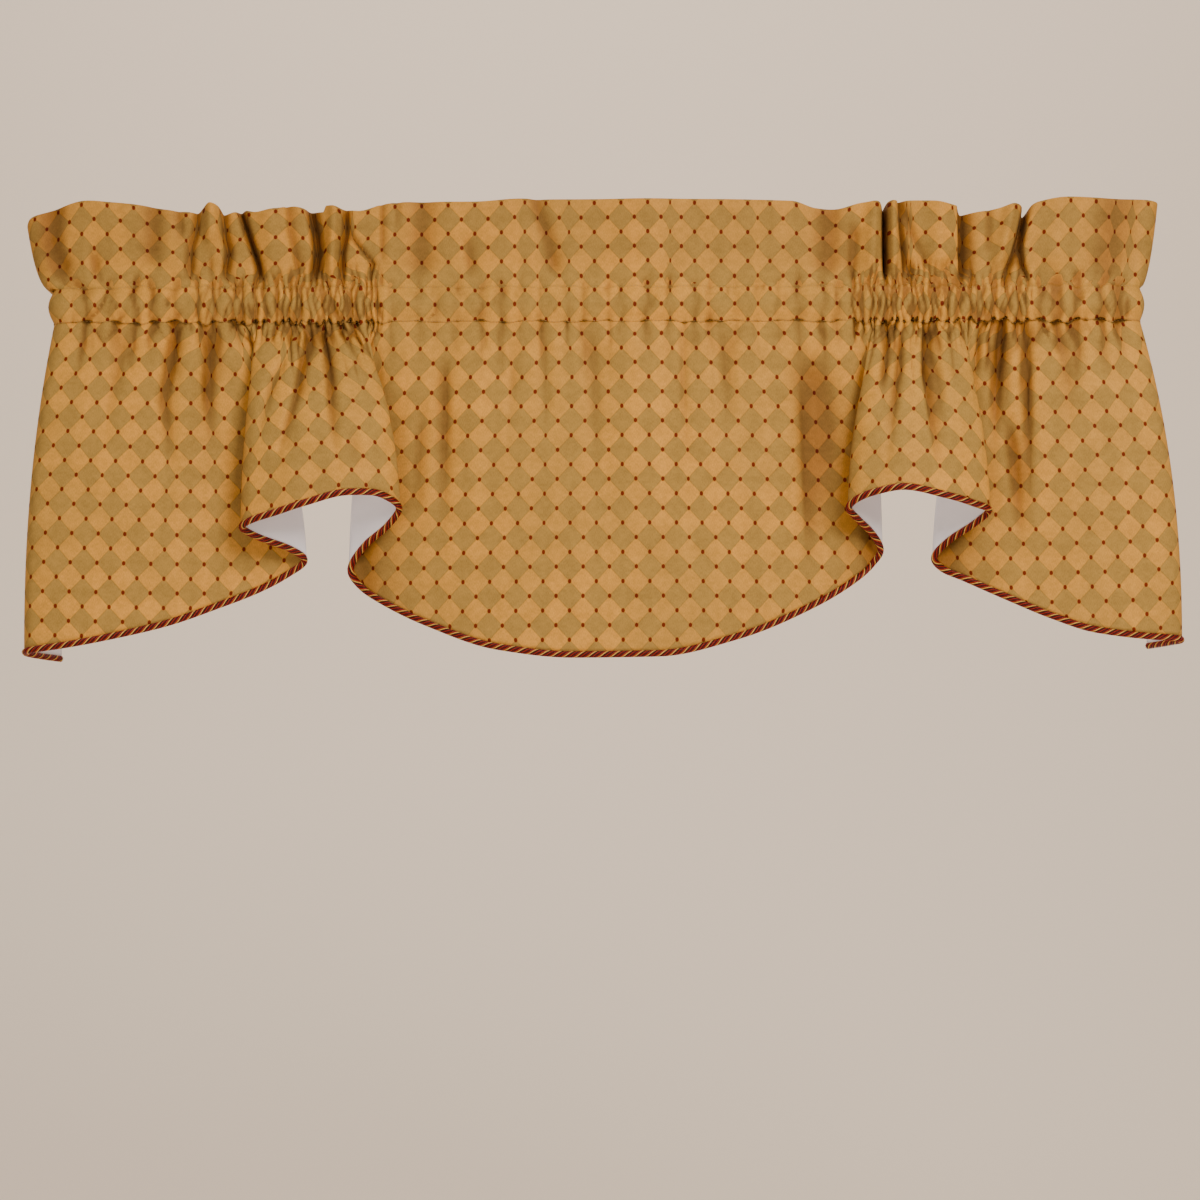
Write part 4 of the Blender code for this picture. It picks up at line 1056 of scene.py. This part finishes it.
# The heading's faces: two closed skins, the cloth's outer and inner side, joined at both ends. Each runs
# up the front, over three points at the top edge and down the back.
q = headingColumns()
frontSkin, frontNormals, heights, frontShade, flare = headingSkin(q, 1.0)
backSkin, backNormals, heights, backShade, flare = headingSkin(q, -1.0)
top = 0.5 * (frontSkin[:, -1:] + backSkin[:, -1:])
up = np.array([0.0, 0.0, 1.0])
overTop = (unit(frontNormals[:, -1:] + up), up, unit(backNormals[:, -1:] + up))
rings = []
for off in (headingSettings["outer"], headingSettings["inner"]):
    front = frontSkin + off * frontNormals
    back = backSkin + off * backNormals
    rings.append(np.concatenate([front] + [top + off * turn for turn in overTop] + [back[:, ::-1]], axis=1))
count, around = rings[0].shape[:2]
outerFaces = loopFaces(count, around, 0)
innerFaces = loopFaces(count, around, count * around)[:, ::-1]
ends = []
for end, turn in ((0, 1), (count - 1, -1)):
    ring = np.arange(around) + end * around
    beside = np.roll(ring, -1)
    strip = np.stack([ring, beside, beside + count * around, ring + count * around], axis=-1)
    ends.append(strip[:, ::turn])
headingFaces = np.concatenate([outerFaces, innerFaces] + ends).tolist()

# Its pattern across goes on from the drop's top row. Past the gathers' long folds in the frill it steps
# by the cloth that they hide.
smoothX, smoothY = smoothHang(columns, np.zeros(1))[:2]
seamLength = rowLengths(smoothX, smoothY)[:, 0]
headingU = np.interp(q + np.interp(0.0, smoothX[:, 0], seamLength), seamLength, dropU[:, 0])
gathered = headingU - q
frillU = np.tile(headingU[:, None], (1, frontSkin.shape[1]))
for start, end in headingSettings["stepSpans"]:
    deepFolds = [row for row in frillFolds if row[1] > headingSettings["stepDepth"]]
    chosen = [row for row in deepFolds if start < row[4][0][0] / 1000 < end]
    total = sum(row[1] for row in chosen)
    first, last = np.interp([start, end], q, gathered)
    stepped = q[:, None] + first + np.zeros_like(frillU)
    for name, depth, left, right, line in chosen:
        path = np.array(line)[::-1] / 1000
        at = np.interp(frontSkin[..., 2], path[:, 1], path[:, 0])
        half = headingSettings["stepWidth"] * (left + right)
        stepped += (last - first) * depth / total * softStep(q[:, None] - at, -half, half)
    inside = (q > start) & (q < end)
    frillU[inside] = stepped[inside]
mix = softStep(heights, *headingSettings["stepRise"])
layerU = headingU[:, None] * (1 - mix) + frillU * mix + flare
ringU = np.concatenate([layerU, np.repeat(layerU[:, -1:], 3, axis=1), layerU[:, ::-1]], axis=1)

# The pattern's height goes up the front, over the fold at the top and down the back
pocketV, frillV, crestV, roundV = headingSettings["flat"]
patternV = np.where(heights[0] < 1, heights[0] * pocketV, pocketV + (heights[0] - 1) * frillV)
ringV = np.concatenate([patternV, [crestV - roundV, crestV, crestV + roundV], 2 * crestV - patternV[::-1]])
uv = np.stack([ringU, np.repeat(ringV[None, :], count, axis=0)], axis=-1).reshape(-1, 2)
headingPoints = np.concatenate([ring.reshape(-1, 3) for ring in rings])
topShade = np.repeat(frontShade[:, -1:], 3, axis=1)
ringShade = np.concatenate([frontShade, topShade, backShade[:, ::-1]], axis=1).ravel()
heading = addMesh("valance_heading", headingPoints, headingFaces, cloth, np.tile(uv, (2, 1)),
                  np.tile(ringShade, 2))
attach(heading, "root")
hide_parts("heading_front", "heading_left_return", "heading_right_return")
print("heading", count, around)

# The cord, one closed tube whose lobes are its strands
cordSettings = {
    "radius": 0.00325, "lobes": 10, "lobePoints": 6, "pitch": 0.0015,  # the tube, and its rings' spacing
    "lay": 0.0222, "depth": 0.30,  # length of one turn, and the depth between strands over the radius
    "strands": ("E9B050", "A82412", "52100A", "A22210", "420C08"),
    "valleyShade": 0.26, "valleyShadeTone": 0.08,  # half width of the painted shade between strands, and its tone there
    # v is ten times the length in metres, so a fibre is about 1 mm, coarser than real so that it shows
    "lengthScale": 10, "fibres": (9.0, 90.0, 1.0), "fibreTone": (0.72, 1.2), "fibreHeight": 0.0004,
    "roughness": 0.42, "specular": 0.25, "bump": 0.7,
}


def rayon():
    # Twisted rayon cord: strands of gold and of brighter and darker red, with a soft gloss on each of them.
    made, tree, uv = newMaterial("twisted_rayon_cord")
    across = addNode(tree, "SeparateXYZ", uv)
    codes = cordSettings["strands"]
    number = addNode(tree, "Math", across, operation="FLOOR")
    number = addNode(tree, "Math", number, 0.5, operation="ADD")
    strand = addNode(tree, "Math", number, len(codes), operation="DIVIDE")
    ramp = addNode(tree, "ValToRGB", addNode(tree, "Math", strand, operation="FRACT"))
    stops = ramp.node.color_ramp
    stops.interpolation = "CONSTANT"
    for i, code in enumerate(codes):
        stop = stops.elements[i] if i < len(stops.elements) else stops.elements.new(i / len(codes))
        stop.position = i / len(codes)
        stop.color = colour(code)
    # painted shade in the grooves between strands, over the real grooves of the tube's lobes
    inside = addNode(tree, "Math", across, 0.5, operation="PINGPONG")
    valleyShade = addNode(tree, "MapRange", inside, 0.0, cordSettings["valleyShade"], cordSettings["valleyShadeTone"], 1.0,
                     **smooth)
    spun = addNode(tree, "Mapping", uv, Scale=cordSettings["fibres"])
    fibres = addNode(tree, "TexNoise", spun, Scale=1.0, Detail=2.0)
    tone = addNode(tree, "MapRange", fibres, 0.25, 0.75, *cordSettings["fibreTone"], **smooth)
    tone = addNode(tree, "Math", valleyShade, tone, operation="MULTIPLY")
    raised = addNode(tree, "Math", fibres, cordSettings["fibreHeight"], operation="MULTIPLY")
    shader = addNode(tree, "BsdfPrincipled", **{
        "Base Color": addNode(tree, "VectorMath", ramp, tone, operation="SCALE"),
        "Roughness": cordSettings["roughness"],
        "Specular IOR Level": cordSettings["specular"],
        "Normal": addNode(tree, "Bump", Height=raised, Distance=1.0, Strength=cordSettings["bump"]),
    })
    addNode(tree, "OutputMaterial", shader)
    return made


def lineLengths(line):
    # length along a line of points, from its start to each of them
    return np.concatenate([[0.0], np.cumsum(np.linalg.norm(np.diff(line, axis=0), axis=1))])


def pointsAt(at, lengths, line):
    # points or directions of a line at given lengths along it
    return np.stack([np.interp(at, lengths, line[:, k]) for k in range(3)], axis=-1)


cordAt = lineLengths(cordLine)
cordPlaces = np.linspace(0, cordAt[-1], int(cordAt[-1] / cordSettings["pitch"]) + 1)


def evenCurve(values):
    # values along the cord's line at even places, softened by a running mean of five
    even = pointsAt(cordPlaces, cordAt, values)
    padded = np.concatenate([np.repeat(even[:1], 2, axis=0), even, np.repeat(even[-1:], 2, axis=0)])
    return sum(padded[i:i + len(even)] for i in range(5)) / 5


centres = evenCurve(cordLine)
centres[0] = cordLine[0]
centres[-1] = cordLine[-1]
tangents = unit(np.gradient(centres, axis=0))
below = squareTo(evenCurve(downwards), tangents)
facing = unit(np.cross(below, tangents))

# Radius * (1 - depth * (1 - sqrt(1 - w^2))), with w from -1 to 1 across each strand, turned along the lay
lobes = cordSettings["lobes"]
points = lobes * cordSettings["lobePoints"]
places = np.arange(points) / cordSettings["lobePoints"]
lobe = 1 - cordSettings["depth"] * (1 - np.sqrt(np.maximum(1 - (2 * (places % 1.0) - 1) ** 2, 0.0)))
turn = 2 * np.pi * (places[None, :] / lobes + cordPlaces[:, None] / cordSettings["lay"])
radius = cordSettings["radius"] * lobe[None, :, None]
circle = np.cos(turn)[..., None] * facing[:, None] - np.sin(turn)[..., None] * below[:, None]
tube = centres[:, None] + radius * circle
tubeFaces = loopFaces(len(cordPlaces), points, 0)
caps = np.stack([np.arange(points)[::-1], np.arange(points) + (len(cordPlaces) - 1) * points])

# The last strand's far edge has the next number up, and not that of the first
strandU = places[tubeFaces % points]
wrapped = strandU.max(axis=1, keepdims=True) - strandU.min(axis=1, keepdims=True) > lobes / 2
strandU = np.where(wrapped & (strandU < 1), lobes, strandU)
cordU = np.concatenate([strandU.ravel(), places[caps % points].ravel()])
cordV = cordPlaces[np.concatenate([tubeFaces.ravel(), caps.ravel()]) // points] * cordSettings["lengthScale"]
cord = addMesh("valance_cord", tube.reshape(-1, 3), tubeFaces.tolist() + caps.tolist(), rayon(),
               np.stack([cordU, cordV], axis=-1))
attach(cord, "root")
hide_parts("cord_trim")
print("cord", len(cordPlaces), points)

# Stitches along both seams of the pocket
stitchSettings = {
    "rows": (1, 14), "first": 0.002, "last": 0.004,  # rows of the heading's grid, and the bare ends
    "pitch": 0.0031, "length": 0.0023, "radius": 0.00028, "points": 6, "around": 6,
    "rise": (0.0001, 0.00035), "thin": 0.35,  # off the cloth, and more in the middle; its thinner ends
    "thread": "B98B4A", "roughness": 0.5,
}


def goldThread():
    # Polyester sewing thread, spun: a plain soft gloss, a little paler than the cloth.
    made, tree = newMaterial("polyester_thread")[:2]
    tint = colour(stitchSettings["thread"])
    rough = stitchSettings["roughness"]
    shader = addNode(tree, "BsdfPrincipled", **{"Base Color": tint, "Roughness": rough})
    addNode(tree, "OutputMaterial", shader)
    return made


ringPoints = stitchSettings["around"]
each = stitchSettings["points"] * ringPoints
shares = np.linspace(0, 1, stitchSettings["points"])
arch = np.sin(np.pi * shares)
angle = 2 * np.pi * np.arange(ringPoints) / ringPoints
foot, rise = stitchSettings["rise"]
thick = stitchSettings["radius"] * (stitchSettings["thin"] + (1 - stitchSettings["thin"]) * arch ** 0.5)
outerFront = frontSkin + headingSettings["outer"] * frontNormals
stitchPoints = []
for row in stitchSettings["rows"]:
    line = outerFront[:, row]
    lengths = lineLengths(line)
    last = lengths[-1] - stitchSettings["last"]
    firsts = np.arange(stitchSettings["first"], last, stitchSettings["pitch"])
    at = firsts[:, None] + stitchSettings["length"] * shares[None, :]
    lift = unit(pointsAt(at, lengths, frontNormals[:, row]))
    middle = pointsAt(at, lengths, line) + lift * (foot + rise * arch)[None, :, None]
    side = unit(np.cross(lift, unit(np.gradient(middle, axis=1))))
    circle = np.cos(angle)[:, None] * side[:, :, None] + np.sin(angle)[:, None] * lift[:, :, None]
    stitchPoints.append((middle[:, :, None] + thick[None, :, None, None] * circle).reshape(-1, 3))
stitchPoints = np.concatenate(stitchPoints)
starts = np.arange(0, len(stitchPoints), each)
tubes = loopFaces(stitchSettings["points"], ringPoints, 0)[None] + starts[:, None, None]
cap = np.arange(ringPoints)
stitchFaces = tubes.reshape(-1, 4)[:, ::-1].tolist()
stitchFaces += (starts[:, None] + cap[None]).tolist()
stitchFaces += (starts[:, None] + each - ringPoints + cap[None, ::-1]).tolist()
stitches = addMesh("valance_stitches", stitchPoints, stitchFaces, goldThread())
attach(stitches, "root")
print("stitches", len(starts))

# The stage round the valance
stageSettings = {
    "floor": -1.2, "front": -6.0, "bend": 1.5, "radius": 2.0, "top": 6.0, "halfWidth": 8.0, "steps": 24,
    "paper": "F4E3D0", "roughness": 0.9,
    "air": "F1F2F6", "airStrength": 0.30,
}
# Soft lights: name, width and height, watts, place, the point it looks at, and colour
lights = [
    ("key", (1.0, 1.0), 57.0, (0.95, -2.2, 0.88), (0.0, 0.0, -0.2), "FFF8EE"),
    ("fill", (1.6, 1.4), 20.0, (-1.1, -2.1, -1.0), (0.0, 0.0, -0.25), "FFF8F0"),
    ("backdrop", (4.0, 1.5), 110.0, (0.0, 0.6, 2.4), (0.0, 3.5, 0.4), "FFF6EC"),
]


def addStage():
    # a pale floor that curves up into a backdrop: flat, then a quarter circle,
    # then upright. Its paper is matt, so it takes no shine from the lights.
    angle = np.linspace(0, np.pi / 2, stageSettings["steps"])
    floorZ = stageSettings["floor"]
    bend = stageSettings["bend"]
    radius = stageSettings["radius"]
    halfWidth = stageSettings["halfWidth"]
    y = np.concatenate([[stageSettings["front"]], bend + radius * np.sin(angle), [bend + radius]])
    z = np.concatenate([[floorZ], floorZ + radius - radius * np.cos(angle), [stageSettings["top"]]])
    points = np.concatenate([np.column_stack([np.full(len(y), x), y, z]) for x in (-halfWidth, halfWidth)])
    i = np.arange(len(y) - 1)
    faces = np.stack([i, i + len(y), i + len(y) + 1, i + 1], axis=-1).tolist()
    paper, tree = newMaterial("matt_paper")[:2]
    tint = colour(stageSettings["paper"])
    rough = stageSettings["roughness"]
    shader = addNode(tree, "BsdfPrincipled", **{"Base Color": tint, "Roughness": rough})
    addNode(tree, "OutputMaterial", shader)
    addMesh("floor", points, faces, paper)


def addLight(name, size, power, place, aim, tint):
    # an area light turned by atan2(level distance, drop) and by its heading to look at a point
    light = bpy.data.lights.new(name, "AREA")
    light.shape = "RECTANGLE"
    light.size, light.size_y = size
    light.energy = power
    light.color = colour(tint)[:3]
    made = bpy.data.objects.new(name, light)
    scene.collection.objects.link(made)
    made.location = place
    direction = np.array(aim) - np.array(place)
    level = math.hypot(direction[0], direction[1])
    made.rotation_euler = (math.atan2(level, -direction[2]), 0.0, math.atan2(-direction[0], direction[1]))


addStage()
for light in lights:
    addLight(*light)
world = bpy.data.worlds.new("air")
world.use_nodes = True
world.node_tree.nodes["Background"].inputs[0].default_value = colour(stageSettings["air"])
world.node_tree.nodes["Background"].inputs[1].default_value = stageSettings["airStrength"]
scene.world = world
print("stage", len(lights), "lights")

lens = bpy.data.cameras.new("camera")
lens.sensor_width = camera["sensor"]
lens.lens = camera["lens"]
lens.shift_y = camera["shift"]
lens.clip_end = camera["clipEnd"]
eye = bpy.data.objects.new("camera", lens)
eye.location = camera["eye"]
eye.rotation_euler = (math.radians(90), math.radians(camera["roll"]), 0.0)
scene.collection.objects.link(eye)
scene.camera = eye
print("camera", camera["eye"])

print("built")
